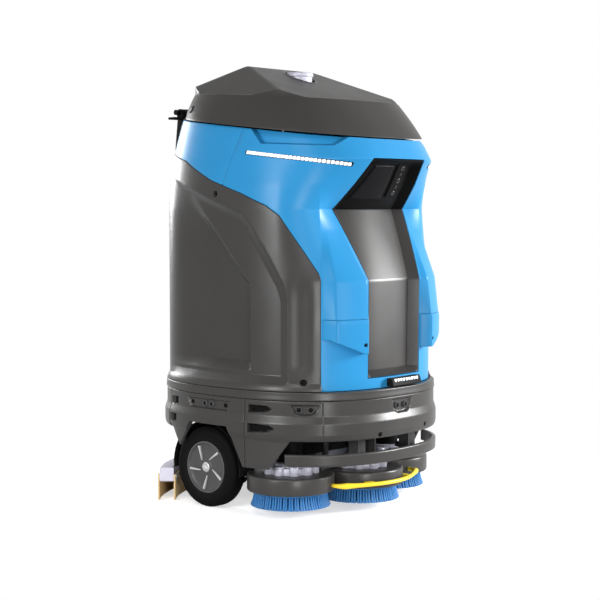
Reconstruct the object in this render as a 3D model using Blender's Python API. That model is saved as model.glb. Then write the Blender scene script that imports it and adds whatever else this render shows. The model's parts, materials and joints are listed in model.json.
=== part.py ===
"""Robotic floor scrubber: an assembly of separate parts, in metres, +Z up, front towards -Y.

The origin is on the floor at the centre of the plan. The body is a superellipse in plan that tapers
towards the top, so every cover, shell and skirt is a patch of that one skin, given by two edges that
say how high it starts and ends at each angle round the machine. Angles are counted from the front,
positive towards the machine's left (+X).
"""
import math

import bmesh
import bpy
from mathutils import Matrix, Vector

# ---------------------------------------------------------------- driving dimensions (metres, degrees)
HEIGHT = 1.10             # floor to the ridge of the lid
BODY_HALF_WIDTH = 0.30    # plan of the upper body
BODY_HALF_LENGTH = 0.325
PLAN_POWER = 2.5          # how square the plan is; 2 would be an ellipse
SKIRT_FLARE = 0.012       # skirt and bumper stand this far outside the body
WALL = 0.004              # moulded covers and shells
SKIRT_WALL = 0.006
SKIRT_STEP = 0.006        # the upper skirt stands this far behind the swell below it
SEAT = 0.0003             # gap between pieces that bear on each other
SEAM = 0.0004             # gap between neighbouring covers
RUN = 0.0008              # radial clearance round turning and sliding shafts

CHASSIS_LOW = 0.200       # underside of the chassis plate
JACK_PAD_LOW = 0.196      # flat pads below it to lift the machine on
CHASSIS_THICK = 0.006
FLOOR_RIM_LOW = 0.2873    # rim of the tray that carries the body
BODY_LOW = 0.308          # lower edge of the body covers
SKIRT_LOW = 0.190
FENDER_LOW = 0.120
ARCH_TOP = 0.215          # top of the wheel opening
BUMPER_LOW, BUMPER_HIGH = 0.130, 0.160
BUMPER_ANGLE = 55.4       # the band ends here, ahead of the fenders

WHEEL_RADIUS = 0.100
WHEEL_WIDTH = 0.048
WHEEL_Y = 0.070
WHEEL_OUTER_X = 0.280
RIM_RADIUS = 0.065
AXLE_RADIUS = 0.008
CASTER_RADIUS = 0.035
CASTER_WIDTH = 0.024
CASTER_TRAIL = 0.022
CASTER_Y = {"front": -0.030, "rear": 0.200}

BRUSH_RADIUS = 0.0975
BRUSH_CENTRES = {"right": (-0.19, -0.135), "centre": (0.0, -0.20), "left": (0.19, -0.135)}
BRISTLE_LOW, BRISTLE_HIGH = 0.022, 0.0527
DECK_LOW, DECK_HIGH = 0.058, 0.100
DECK_MARGIN = 0.0095      # deck cover outside the bristles
DECK_POSTS = ((-0.095, -0.165), (0.095, -0.165))
POST_RADIUS = 0.008

SQUEEGEE_ARC = 0.424      # radius of the curved squeegee
SQUEEGEE_MID_Y = 0.312
SQUEEGEE_HALF_ANGLE = 42.0
SQUEEGEE_HALF_DEPTH = 0.018
HOLDER_LOW, HOLDER_HIGH = 0.048, 0.085
BLADE_LOW, BLADE_HIGH = 0.001, 0.066
BLADE_THICK = 0.004
ARM_PIVOT = (0.135, 0.150)        # Y, Z of the squeegee arm's pivot
ARM_X = 0.076

LID_HALF_WIDTH = 0.285
LID_HALF_LENGTH = 0.2795
LID_CENTRE_Y = -0.0145
LID_UPPER_WIDTH = 0.865       # upper outline of the lid, as shares of the lower one
LID_UPPER_REAR = 0.913
LID_UPPER_FRONT = 0.805
LID_UPPER_Y = -0.0015
LID_PIN = (0.278, 0.990)          # Y, Z of the lid hinge
PIN_RADIUS = 0.005
KNUCKLE_RADIUS = 0.0095
LID_GAP = 0.003
HOUSING_ANGLE = 24.0          # hinge housing reaches this far round each side of the rear
HOUSING_LOW = 0.850
HOUSING_BACK = 0.327
SCREEN_LOW = 0.735
SCREEN_HIGH = 0.835
REAR_DROP = 0.004         # the rear panel ends this far below the shells, under the hinge plate
RIDGE_HALF = 0.12                 # half length of the roof ridge
RIDGE_Y = 0.07

COLUMN_DEPTH = 0.026      # the front column lies this far behind the skin
COLUMN_LOW, WAIST, BROW = 0.335, 0.740, 0.861
COLUMN_ANGLE = 20.0       # nominal edge of the column; edge_warp bends it
COVER_FRONT_ANGLE = 40.2
REAR_ANGLE = 140.0        # rear panel starts here
GRIP_DEPTH = 0.022        # finger recess under the lid
EAR_PROUD = 0.026         # the ears beside the column stand this far out
EAR_LOW, EAR_SEAM, EAR_TOP = 0.396, 0.480, 0.68

# ---------------------------------------------------------------- colours: (rgb, roughness, metallic)
FINISHES = {
    "blue_shell": ((0.05, 0.36, 0.82), 0.35, 0.0),
    "dark_shell": ((0.085, 0.08, 0.08), 0.42, 0.0),
    "black_plastic": ((0.015, 0.015, 0.016), 0.5, 0.0),
    "black_glass": ((0.01, 0.01, 0.012), 0.08, 0.0),
    "led_white": ((0.95, 0.97, 1.0), 0.3, 0.0),
    "tyre": ((0.018, 0.018, 0.018), 0.75, 0.0),
    "rim_grey": ((0.12, 0.12, 0.125), 0.4, 0.2),
    "steel": ((0.55, 0.55, 0.56), 0.35, 1.0),
    "painted_steel": ((0.03, 0.03, 0.032), 0.5, 0.3),
    "gearbox_grey": ((0.5, 0.5, 0.56), 0.45, 0.2),
    "tank_grey": ((0.35, 0.36, 0.38), 0.5, 0.0),
    "battery": ((0.05, 0.05, 0.055), 0.5, 0.0),
    "bristle_blue": ((0.03, 0.25, 0.65), 0.6, 0.0),
    "yellow": ((0.9, 0.62, 0.02), 0.4, 0.0),
    "tan_rubber": ((0.72, 0.5, 0.25), 0.55, 0.0),
    "pale_grey": ((0.6, 0.58, 0.66), 0.45, 0.0),
    "red": ((0.7, 0.02, 0.02), 0.35, 0.0),
}


# ---------------------------------------------------------------- curves of the skin
def smooth_step(low, high, value):
    t = min(1.0, max(0.0, (value - low) / (high - low)))
    return t * t * (3.0 - 2.0 * t)


def follow(knots, value):
    """Straight-line interpolation through (position, value) knots."""
    if value <= knots[0][0]:
        return knots[0][1]
    for (x0, y0), (x1, y1) in zip(knots, knots[1:]):
        if value <= x1:
            return y0 + (y1 - y0) * (value - x0) / (x1 - x0)
    return knots[-1][1]


TAPER = ((0.74, 1.0), (0.80, 0.99), (0.865, 0.965), (0.92, 0.925), (0.975, 0.88))
FRONT_RELIEF = ((0.308, -0.012), (0.57, -0.010), (WAIST, -0.070), (BROW, 0.014), (0.91, -0.003))
COLUMN_HALF_WIDTH = ((0.57, 0.1025), (WAIST, 0.140), (BROW, 0.105))
COVER_SEAM = ((-180.0, 0.930), (-116.7, 0.860), (-96.2, 0.811), (-77.0, 0.779), (-64.1, 0.750),
              (-57.8, 0.726), (-45.0, 0.621), (-40.8, 0.585))
SHELL_SEAM = ((-87.8, 0.8006), (-78.0, 0.936))
FENDER_EDGE = ((-75.0, FENDER_LOW), (-62.0, FENDER_LOW), (-53.0, SKIRT_LOW))
ARCH_EDGE = ((-126.0, 0.205), (-117.0, 0.150), (-112.7, 0.180), (-107.7, ARCH_TOP), (-84.0, ARCH_TOP),
             (-75.2, FENDER_LOW))
GRIP_EDGE = ((-73.6, 0.0), (-67.5, 0.034), (-34.9, 0.024), (-27.7, 0.0))


def plan_radius(angle, half_width, half_length):
    s, c = abs(math.sin(math.radians(angle))), abs(math.cos(math.radians(angle)))
    return ((s / half_width) ** PLAN_POWER + (c / half_length) ** PLAN_POWER) ** (-1.0 / PLAN_POWER)


def edge_warp(angle, z):
    """Bends the nominal column edge to the column's real half width at this height."""
    radius = plan_radius(COLUMN_ANGLE, BODY_HALF_WIDTH, BODY_HALF_LENGTH) + follow(FRONT_RELIEF, z)
    edge = math.degrees(math.asin(follow(COLUMN_HALF_WIDTH, z) / radius))
    size = abs(angle)
    if size >= COVER_FRONT_ANGLE:
        return angle
    if size <= COLUMN_ANGLE:
        return angle * edge / COLUMN_ANGLE
    share = (size - COLUMN_ANGLE) / (COVER_FRONT_ANGLE - COLUMN_ANGLE)
    return math.copysign(edge + share * (COVER_FRONT_ANGLE - edge), angle)


def ear_bulge(angle, z):
    """How far the ear beside the column stands out of the skin."""
    across = smooth_step(COLUMN_ANGLE, 24.0, abs(angle)) * (1.0 - smooth_step(36.0, 40.0, abs(angle)))
    return EAR_PROUD * across * (1.0 - smooth_step(EAR_SEAM - 0.04, EAR_TOP, z))


def ear_bottom(angle):
    """Lower edge of the ear cap, which rises outwards."""
    return follow(((24.0, EAR_LOW), (37.5, EAR_LOW + 0.034)), abs(angle))


def skin(angle, z, offset=0.0, inset=0.0):
    """Point of the body skin, moved out by offset; inset is a local recess."""
    taper = follow(TAPER, z)
    radius = plan_radius(angle, BODY_HALF_WIDTH * taper + offset, BODY_HALF_LENGTH * taper + offset)
    weight = 1.0 - smooth_step(18.0, 60.0, abs(angle))
    radius += weight * follow(FRONT_RELIEF, z) - inset
    turned = math.radians(edge_warp(angle, z))
    return Vector((radius * math.sin(turned), -radius * math.cos(turned), z))


def plain(angle, z, offset=0.0, inset=0.0):
    """Point of the straight skirt, which has neither taper nor relief."""
    radius = plan_radius(angle, BODY_HALF_WIDTH + SKIRT_FLARE + offset,
                         BODY_HALF_LENGTH + SKIRT_FLARE + offset) - inset
    turned = math.radians(angle)
    return Vector((radius * math.sin(turned), -radius * math.cos(turned), z))


def lid_edge_height(y):
    """Lower edge of the lid, which rises towards the back."""
    return 0.911 + 0.11 * (y + 0.31)


def body_top(angle):
    y = skin(angle, 0.93).y
    return lid_edge_height(y) - LID_GAP


def mirrored(edge):
    """An edge that is given for the right side, read at any angle."""
    return lambda angle: follow(edge, -abs(angle))


cover_seam = mirrored(COVER_SEAM)
shell_seam = mirrored(SHELL_SEAM)


# ---------------------------------------------------------------- materials and objects
def material(name):
    colour, roughness, metallic = FINISHES[name]
    made = bpy.data.materials.get(name) or bpy.data.materials.new(name)
    made.use_nodes = True
    shader = made.node_tree.nodes["Principled BSDF"]
    shader.inputs["Base Color"].default_value = (*colour, 1.0)
    shader.inputs["Roughness"].default_value = roughness
    shader.inputs["Metallic"].default_value = metallic
    made.diffuse_color = (*colour, 1.0)
    return made


def finish(name, bm, finish_name, pivot=None, smooth=False):
    """Turns a bmesh in world places into an object whose origin is at pivot."""
    bmesh.ops.recalc_face_normals(bm, faces=bm.faces)
    mesh = bpy.data.meshes.new(name)
    origin = Vector(pivot or (0.0, 0.0, 0.0))
    bm.transform(Matrix.Translation(-origin))
    bm.to_mesh(mesh)
    bm.free()
    made = bpy.data.objects.new(name, mesh)
    made.location = origin
    bpy.context.collection.objects.link(made)
    if finish_name:
        mesh.materials.append(material(finish_name))
    if smooth:
        mesh.shade_smooth()
        mesh.set_sharp_from_angle(angle=math.radians(35))
    return made


def tool(made):
    """Marks a piece as a shape for a Boolean only."""
    made.hide_render = True
    made.display_type = "WIRE"
    made.hide_set(True)
    return made


def boolean(made, others, operation):
    for other in others:
        tool(other)
        step = made.modifiers.new(operation.title() + "_" + other.name, "BOOLEAN")
        step.operation = operation
        step.solver = "EXACT"
        step.object = other
    return made


def cut(made, *cutters):
    return boolean(made, cutters, "DIFFERENCE")


def join(made, *others):
    return boolean(made, others, "UNION")


def block(name, low, high, finish_name=None, pivot=None, round_edges=0.0):
    """Box between two corners, with its upright edges rounded."""
    bm = bmesh.new()
    bmesh.ops.create_cube(bm, size=1.0)
    low, high = Vector(low), Vector(high)
    size = high - low
    bmesh.ops.scale(bm, verts=bm.verts, vec=size)
    bmesh.ops.translate(bm, verts=bm.verts, vec=(low + high) / 2.0)
    if round_edges:
        upright = [e for e in bm.edges if abs((e.verts[0].co - e.verts[1].co).z) > 0.9 * size.z]
        bmesh.ops.bevel(bm, geom=upright, offset=round_edges, affect="EDGES", segments=2, profile=0.5,
                        material=-1)
    return finish(name, bm, finish_name, pivot)


def turned(name, profile, centre, axis, finish_name=None, sides=20, pivot=None):
    """Solid or ring of revolution. profile is a closed list of (radius, place along the axis); the
    sides are set so that the flats lie at the stated radius."""
    bm = bmesh.new()
    grow = 1.0 / math.cos(math.pi / sides)
    ring = [bm.verts.new((radius * grow, 0.0, along)) for radius, along in profile]
    edges = [bm.edges.new(pair) for pair in zip(ring, ring[1:])]
    if profile[0][0] > 0.0:
        edges.append(bm.edges.new((ring[-1], ring[0])))
    bmesh.ops.rotate(bm, verts=bm.verts, cent=(0, 0, 0), matrix=Matrix.Rotation(math.pi / sides, 3, "Z"))
    bmesh.ops.spin(bm, geom=list(bm.verts) + edges, cent=(0, 0, 0), axis=(0, 0, 1),
                   angle=math.tau, steps=sides, use_merge=True)
    bmesh.ops.remove_doubles(bm, verts=bm.verts, dist=1e-6)
    way = Vector((0, 0, 1)).rotation_difference(Vector(axis)).to_matrix()
    bmesh.ops.rotate(bm, verts=bm.verts, cent=(0, 0, 0), matrix=way)
    bmesh.ops.translate(bm, verts=bm.verts, vec=centre)
    return finish(name, bm, finish_name, pivot, smooth=True)


def rod(name, centre, axis, radius, length, finish_name=None, sides=16, pivot=None):
    """Round bar that starts at centre and runs along the axis."""
    profile = [(0.0, 0.0), (radius, 0.0), (radius, length), (0.0, length)]
    return turned(name, profile, centre, axis, finish_name, sides, pivot)


def prism(name, outline, along, low, high, finish_name=None, pivot=None):
    """Outline in the two directions other than along ("X" or "Z"), extruded from low to high."""
    bm = bmesh.new()
    if along == "X":
        corners = [bm.verts.new((low, a, b)) for a, b in outline]
    else:
        corners = [bm.verts.new((a, b, low)) for a, b in outline]
    face = bm.faces.new(corners)
    grown = bmesh.ops.extrude_face_region(bm, geom=[face])["geom"]
    way = Vector((high - low, 0, 0)) if along == "X" else Vector((0, 0, high - low))
    moved = [g for g in grown if isinstance(g, bmesh.types.BMVert)]
    bmesh.ops.translate(bm, verts=moved, vec=way)
    return finish(name, bm, finish_name, pivot)


def patch(name, angles, levels, low, high, outer, inner, finish_name, pivot=None):
    """Shell between two edges. low and high give its height range at an angle; outer and inner give
    the point of each face at (angle, z)."""
    bm = bmesh.new()
    columns, rows = len(angles) - 1, len(levels) - 1
    bmesh.ops.create_grid(bm, x_segments=columns, y_segments=rows, size=1.0)
    inner_of = {}
    for vert in bm.verts:
        angle = angles[round((vert.co.x + 1.0) / 2.0 * columns)]
        z = levels[round((vert.co.y + 1.0) / 2.0 * rows)]
        z = min(max(z, low(angle)), high(angle))
        vert.co = outer(angle, z)
        inner_of[tuple(round(v, 6) for v in vert.co)] = inner(angle, z)
    bmesh.ops.remove_doubles(bm, verts=bm.verts, dist=1e-5)
    bmesh.ops.dissolve_degenerate(bm, edges=bm.edges, dist=1e-5)
    grown = bmesh.ops.extrude_face_region(bm, geom=list(bm.faces))["geom"]
    for vert in (g for g in grown if isinstance(g, bmesh.types.BMVert)):
        vert.co = inner_of[tuple(round(v, 6) for v in vert.co)]
    return finish(name, bm, finish_name, pivot, smooth=True)


def angles_between(first, last, step=7.5, knots=()):
    """Evenly spread angles that include both ends and every knot between them."""
    count = int((180.0 + 180.0) / step)
    spread = [-180.0 + step * i for i in range(count + 1)]
    inside = [a for a in spread if first + 1.0 < a < last - 1.0 and all(abs(a - k) > 1.0 for k in knots)]
    return sorted({first, last, *inside, *(k for k in knots if first < k < last)})


SEAM_KNOTS = [s * a for s in (-1, 1) for a in (COLUMN_ANGLE, 24.0, 27.7, 34.9, COVER_FRONT_ANGLE, 40.8, 45.0,
                                              57.8, 64.1, 67.5, 73.6, 78.0, 87.8, 96.2, 116.7)]


# ---------------------------------------------------------------- chassis and running gear
def chassis_outline():
    back = SKIRT_STEP + SKIRT_WALL + SEAT
    return [tuple(plain(a, 0.0, -back).xy) for a in angles_between(-180.0, 172.5)]


def build_chassis():
    plate = prism("chassis_plate", chassis_outline(), "Z", CHASSIS_LOW, CHASSIS_LOW + CHASSIS_THICK,
                  "painted_steel")
    bay_in, bay_half = WHEEL_OUTER_X - WHEEL_WIDTH - 0.012, WHEEL_RADIUS + 0.015
    for sign in (-1, 1):
        ends = sorted((sign * bay_in, sign * 0.40))
        cut(plate, block(f"wheel_bay_{sign}", (ends[0], WHEEL_Y - bay_half, CHASSIS_LOW - 0.02),
                         (ends[1], WHEEL_Y + bay_half, CHASSIS_LOW + 0.03)))
    legs = []
    for end, y in CASTER_Y.items():
        legs.append(rod(f"caster_leg_{end}", (0, y, caster_top() + SEAT), (0, 0, 1), 0.020,
                        CHASSIS_LOW + 0.003 - caster_top(), sides=12))
    for index, (x, y) in enumerate(((-0.2, -0.2), (0.2, -0.2), (-0.2, 0.235), (0.2, 0.235))):
        legs.append(block(f"standoff_{index}", (x - 0.011, y - 0.011, CHASSIS_LOW + 0.003),
                          (x + 0.011, y + 0.011, BODY_LOW - 0.008 - SEAT)))
    for sign in (-1, 1):
        x = sign * ARM_X
        legs.append(block(f"arm_lug_{sign}", (x - 0.007, ARM_PIVOT[0] - 0.014, ARM_PIVOT[1] - 0.014),
                          (x + 0.007, ARM_PIVOT[0] + 0.014, CHASSIS_LOW + 0.003)))
        legs.append(rod(f"arm_pin_{sign}", (x + sign * 0.004, *ARM_PIVOT), (sign, 0, 0), PIN_RADIUS, 0.026,
                        sides=12))
        legs.append(block(f"jack_pad_{sign}", (sign * 0.10 - 0.02, 0.03, JACK_PAD_LOW),
                          (sign * 0.10 + 0.02, 0.07, CHASSIS_LOW + 0.003)))
        legs.append(block(f"bumper_guide_{sign}", (sign * 0.10 - 0.014, -0.285, 0.131),
                          (sign * 0.10 + 0.014, -0.255, CHASSIS_LOW + 0.003)))
    join(plate, *legs)
    for end, y in CASTER_Y.items():
        cut(plate, rod(f"caster_bore_{end}", (0, y, caster_top() - 0.01), (0, 0, 1), 0.008 + RUN, 0.046,
                       sides=16))
    for index, (x, y) in enumerate(DECK_POSTS):
        cut(plate, rod(f"post_bore_{index}", (x, y, CHASSIS_LOW - 0.01), (0, 0, 1), POST_RADIUS + RUN, 0.04))
    for sign in (-1, 1):
        cut(plate, rod(f"guide_bore_{sign}", (sign * 0.10, -0.30, 0.145), (0, 1, 0), 0.006 + RUN, 0.06))


def caster_top():
    return 2.0 * CASTER_RADIUS + 0.012


def build_casters():
    for end, y in CASTER_Y.items():
        top, centre = caster_top(), (0.0, y + CASTER_TRAIL, CASTER_RADIUS)
        half = CASTER_WIDTH / 2.0 + 0.0012
        fork = block(f"caster_fork_{end}", (-half - 0.004, y - 0.018, top - 0.005),
                     (half + 0.004, y + 0.030, top), "steel", (0, y, 0))
        cheeks = []
        for sign in (-1, 1):
            outline = [(y - 0.012, top - 0.002), (y + 0.028, top - 0.002), (centre[1] + 0.009, 0.028),
                       (centre[1] - 0.007, 0.026)]
            ends = sorted((sign * half, sign * (half + 0.003)))
            cheeks.append(prism(f"cheek_{end}_{sign}", outline, "X", *ends))
        cheeks.append(rod(f"stem_{end}", (0, y, top - 0.003), (0, 0, 1), 0.008, 0.034))
        cheeks.append(rod(f"bolt_{end}", (-half - 0.0045, *centre[1:]), (1, 0, 0), 0.004, 2 * half + 0.009,
                          sides=10))
        join(fork, *cheeks)
        w = CASTER_WIDTH / 2.0
        wall = [(0.004 + RUN, -w), (CASTER_RADIUS - 0.004, -w), (CASTER_RADIUS, -w + 0.005),
                (CASTER_RADIUS, w - 0.005), (CASTER_RADIUS - 0.004, w), (0.004 + RUN, w)]
        turned(f"caster_wheel_{end}", wall, centre, (1, 0, 0), "tyre", 24, centre)


def build_drive(side, sign):
    hub = (sign * (WHEEL_OUTER_X - WHEEL_WIDTH / 2.0), WHEEL_Y, WHEEL_RADIUS)
    w, r = WHEEL_WIDTH / 2.0, WHEEL_RADIUS
    tread = [(RIM_RADIUS + SEAT, -w), (r - 0.014, -w), (r - 0.004, -w + 0.005), (r, -w + 0.012),
             (r, w - 0.012), (r - 0.004, w - 0.005), (r - 0.014, w), (RIM_RADIUS + SEAT, w)]
    turned(f"tyre_{side}", tread, hub, (sign, 0, 0), "tyre", 32, hub)
    rim = [(0.0, -w - 0.026), (AXLE_RADIUS, -w - 0.026), (AXLE_RADIUS, -w + 0.004), (0.030, -w + 0.006),
           (RIM_RADIUS - 0.006, -w + 0.006), (RIM_RADIUS, -w + 0.004), (RIM_RADIUS, w - 0.002),
           (RIM_RADIUS - 0.006, w - 0.005), (0.016, w - 0.005), (0.014, w - 0.001), (0.0, w - 0.001)]
    turned(f"wheel_rim_{side}", rim, hub, (sign, 0, 0), "rim_grey", 32, hub)
    face = sign * (WHEEL_OUTER_X - WHEEL_WIDTH - 0.004)
    motor = rod(f"drive_motor_{side}", (face, *hub[1:]), (-sign, 0, 0), 0.044, 0.080, "gearbox_grey", 20)
    ends = sorted((face - sign * 0.015, face - sign * 0.065))
    join(motor, block(f"motor_saddle_{side}", (ends[0], WHEEL_Y - 0.028, WHEEL_RADIUS + 0.02),
                      (ends[1], WHEEL_Y + 0.028, CHASSIS_LOW - SEAT)))
    cut(motor, rod(f"motor_bore_{side}", (face + sign * 0.01, *hub[1:]), (-sign, 0, 0), AXLE_RADIUS + RUN,
                   0.040, sides=20))


# ---------------------------------------------------------------- brush deck
def lobed_outline(margin, points=7):
    """Outline round the three brushes, anticlockwise: one arc round each, meeting where they cross."""
    radius = BRUSH_RADIUS + margin
    middle, side = Vector(BRUSH_CENTRES["centre"]), Vector(BRUSH_CENTRES["left"])
    apart = side - middle
    crossing = math.acos(apart.length / 2.0 / radius)
    bearing = math.atan2(apart.y, apart.x)

    def arc(centre, start, end, count):
        steps = [start + (end - start) * i / count for i in range(count)]
        return [(centre[0] + radius * math.cos(a), centre[1] + radius * math.sin(a)) for a in steps]

    front = arc(middle, math.pi - bearing + crossing, math.tau + bearing - crossing, 2 * points)
    left = arc(side, bearing + math.pi + crossing, bearing + 3 * math.pi - crossing, 3 * points)
    back = arc(middle, bearing + crossing, math.pi - bearing - crossing, points)
    right = arc((-side.x, side.y), crossing - bearing, math.tau - bearing - crossing, 3 * points)
    return front + left + back + right


def build_deck():
    wall, top = 0.004, 0.005
    shroud = prism("deck_shroud", lobed_outline(DECK_MARGIN), "Z", DECK_LOW, DECK_HIGH, "dark_shell")
    cut(shroud, prism("shroud_inside", lobed_outline(DECK_MARGIN - wall), "Z", DECK_LOW - 0.01,
                      DECK_HIGH - top))
    frame = block("deck_frame", (-0.125, -0.178, DECK_HIGH + SEAT), (0.125, -0.152, DECK_HIGH + 0.006),
                  "painted_steel")
    join(frame, *[rod(f"post_{i}", (x, y, DECK_HIGH + 0.003), (0, 0, 1), POST_RADIUS,
                      0.270 - DECK_HIGH) for i, (x, y) in enumerate(DECK_POSTS)])
    for side, (x, y) in BRUSH_CENTRES.items():
        cut(shroud, rod(f"shroud_bore_{side}", (x, y, DECK_HIGH - 0.02), (0, 0, 1), 0.012 + RUN, 0.04))
        cut(frame, rod(f"frame_clearance_{side}", (x, y, DECK_HIGH - 0.02), (0, 0, 1), 0.046, 0.05,
                       sides=24))
        hub = [(0.0, BRISTLE_HIGH + SEAT), (BRUSH_RADIUS - 0.006, BRISTLE_HIGH + SEAT),
               (BRUSH_RADIUS - 0.006, BRISTLE_HIGH + 0.007), (0.030, BRISTLE_HIGH + 0.012),
               (0.012, BRISTLE_HIGH + 0.014), (0.012, DECK_HIGH + 0.0), (0.0, DECK_HIGH + 0.0)]
        turned(f"brush_hub_{side}", hub, (x, y, 0), (0, 0, 1), "bristle_blue", 24, (x, y, 0))
        ring = [(0.040, BRISTLE_LOW), (BRUSH_RADIUS, BRISTLE_LOW), (BRUSH_RADIUS - 0.004, BRISTLE_HIGH),
                (0.044, BRISTLE_HIGH)]
        turned(f"bristles_{side}", ring, (x, y, 0), (0, 0, 1), "bristle_blue", 28, (x, y, 0))
        low = DECK_HIGH + SEAT
        drum = [(0.0, low), (0.044, low), (0.044, low + 0.020), (0.040, low + 0.025), (0.030, low + 0.026),
                (0.030, low + 0.078), (0.026, low + 0.082), (0.0, low + 0.082)]
        turned(f"brush_motor_{side}", drum, (x, y, 0), (0, 0, 1), "gearbox_grey", 20)


def build_bump_bar():
    """Yellow guard that bows in front of the deck, with ends hooked back to the side lobes."""
    radius, reach = 0.005, 0.145
    lobe = Vector(BRUSH_CENTRES["left"])
    off = BRUSH_RADIUS + DECK_MARGIN + 0.0016
    way = Vector((-0.347, -0.938)).normalized()
    hook = lobe + way * off
    bow = [(reach * s, -0.262 - 0.055 * (1.0 - s * s)) for s in (1.0, 0.8, 0.55, 0.28, 0.0)]
    half = [tuple(hook), (hook.x + 0.001, hook.y - 0.011)] + bow
    route = half + [(-x, y) for x, y in reversed(half[:-1])]
    curve = bpy.data.curves.new("bump_bar", "CURVE")
    curve.dimensions = "3D"
    curve.bevel_depth = radius
    curve.bevel_resolution = 2
    curve.use_fill_caps = True
    line = curve.splines.new("POLY")
    line.points.add(len(route) - 1)
    for point, (x, y) in zip(line.points, route):
        point.co = (x, y, 0.074, 1.0)
    made = bpy.data.objects.new("bump_bar", curve)
    curve.materials.append(material("yellow"))
    bpy.context.collection.objects.link(made)


# ---------------------------------------------------------------- squeegee
def arc_band(inner, outer, steps=12, half_angle=SQUEEGEE_HALF_ANGLE):
    """Curved band outline about the squeegee's arc centre, offsets from the middle line."""
    centre_y = SQUEEGEE_MID_Y - SQUEEGEE_ARC

    def run(offset, turn):
        return [((SQUEEGEE_ARC + offset) * math.sin(math.radians(a)),
                 centre_y + (SQUEEGEE_ARC + offset) * math.cos(math.radians(a)))
                for a in (turn * half_angle * (2.0 * i / steps - 1.0) for i in range(steps + 1))]
    return run(outer, 1) + run(inner, -1)


def build_squeegee():
    half, thick = SQUEEGEE_HALF_DEPTH, BLADE_THICK
    pivot = (0, *ARM_PIVOT)
    holder = prism("squeegee_holder", arc_band(-half, half), "Z", HOLDER_LOW, HOLDER_HIGH, "pale_grey",
                   pivot)
    join(holder, rod("suction_spigot", (0, SQUEEGEE_MID_Y, HOLDER_HIGH - 0.004), (0, 0, 1), 0.016, 0.045))
    cut(holder, prism("suction_channel", arc_band(-half + 0.005, half - 0.005, half_angle=39.0), "Z",
                      HOLDER_LOW - 0.02, HOLDER_HIGH - 0.008),
        rod("suction_bore", (0, SQUEEGEE_MID_Y, HOLDER_LOW), (0, 0, 1), 0.012, 0.12))
    for side, low, high in (("front", -half - SEAT - thick, -half - SEAT),
                            ("rear", half + SEAT, half + SEAT + thick)):
        prism(f"squeegee_blade_{side}", arc_band(low, high), "Z", BLADE_LOW, BLADE_HIGH, "tan_rubber", pivot)
    y, z = ARM_PIVOT
    top = HOLDER_HIGH + SEAT
    profile = [(y - 0.012, z - 0.006), (y - 0.012, z + 0.006), (y - 0.006, z + 0.012), (y + 0.008, z + 0.012),
               (0.262, top + 0.012), (SQUEEGEE_MID_Y - 0.002, top + 0.012), (SQUEEGEE_MID_Y - 0.002, top),
               (0.255, top), (y + 0.004, z - 0.012), (y - 0.006, z - 0.012)]
    bars = []
    for sign in (-1, 1):
        ends = sorted((sign * (ARM_X + 0.0075), sign * (ARM_X + 0.0205)))
        bars.append(prism(f"arm_bar_{sign}", profile, "X", *ends))
    cross = block("squeegee_arm", (-ARM_X - 0.012, SQUEEGEE_MID_Y - 0.040, top),
                  (ARM_X + 0.012, SQUEEGEE_MID_Y - 0.022, top + 0.009), "painted_steel", pivot)
    join(cross, *bars)
    cut(cross, *[rod(f"arm_bore_{s}", (s * ARM_X, y, z), (s, 0, 0), PIN_RADIUS + RUN, 0.03, sides=16)
                 for s in (-1, 1)])


# ---------------------------------------------------------------- skirt, fenders and bumper
def skirt_profile(z):
    """Flare of the skirt: straight above, a chamfer that swells at mid height, a lip below."""
    flare = ((0.190, -0.004), (0.210, 0.0), (0.245, -0.002), (0.252, -SKIRT_STEP), (0.287, -SKIRT_STEP))
    return follow(flare, z)


def skirt_out(angle, z):
    return plain(angle, z, skirt_profile(z))


def skirt_in(angle, z):
    return plain(angle, z, -SKIRT_STEP - SKIRT_WALL)


def build_skirt():
    levels = [FENDER_LOW, 0.160, SKIRT_LOW, 0.210, 0.245, 0.252, FLOOR_RIM_LOW - SEAT]
    top = levels[-1]
    knots = [s * a for s in (-1, 1) for a in (53.0, 62.0, 74.0)]
    patch("skirt_front", angles_between(-74.0, 74.0, knots=knots), levels,
          mirrored(FENDER_EDGE), lambda a: top, skirt_out, skirt_in, "dark_shell")
    arch = mirrored(ARCH_EDGE)
    half = math.degrees(SEAM / BODY_HALF_WIDTH)
    for side, sign in (("right", -1), ("left", 1)):
        knots = [sign * a for a in (75.2, 84.0, 107.7, 112.7, 117.0)]
        ends = sorted((sign * (74.0 + half), sign * (126.0 - half)))
        patch(f"fender_{side}", angles_between(*ends, knots=knots), levels, arch, lambda a: top,
              skirt_out, skirt_in, "dark_shell")
    rear = [a % 360.0 for a in angles_between(-180.0, -126.0)]
    rear = sorted({*rear, *(360.0 - a for a in rear)})
    patch("skirt_rear", rear, levels[2:], lambda a: SKIRT_LOW, lambda a: top, skirt_out, skirt_in,
          "dark_shell")


def build_bumper():
    knots = [-53.0, 53.0]
    angles = angles_between(-BUMPER_ANGLE, BUMPER_ANGLE, knots=knots)
    band = patch("bumper_band", angles, [BUMPER_LOW, BUMPER_HIGH],
                 lambda a: BUMPER_LOW, lambda a: BUMPER_HIGH, lambda a, z: plain(a, z),
                 lambda a, z: plain(a, z, -0.009), "dark_shell")
    join(band, *[rod(f"bumper_rod_{s}", (s * 0.10, -0.326, 0.145), (0, 1, 0), 0.006, 0.086) for s in (-1, 1)])


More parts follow.
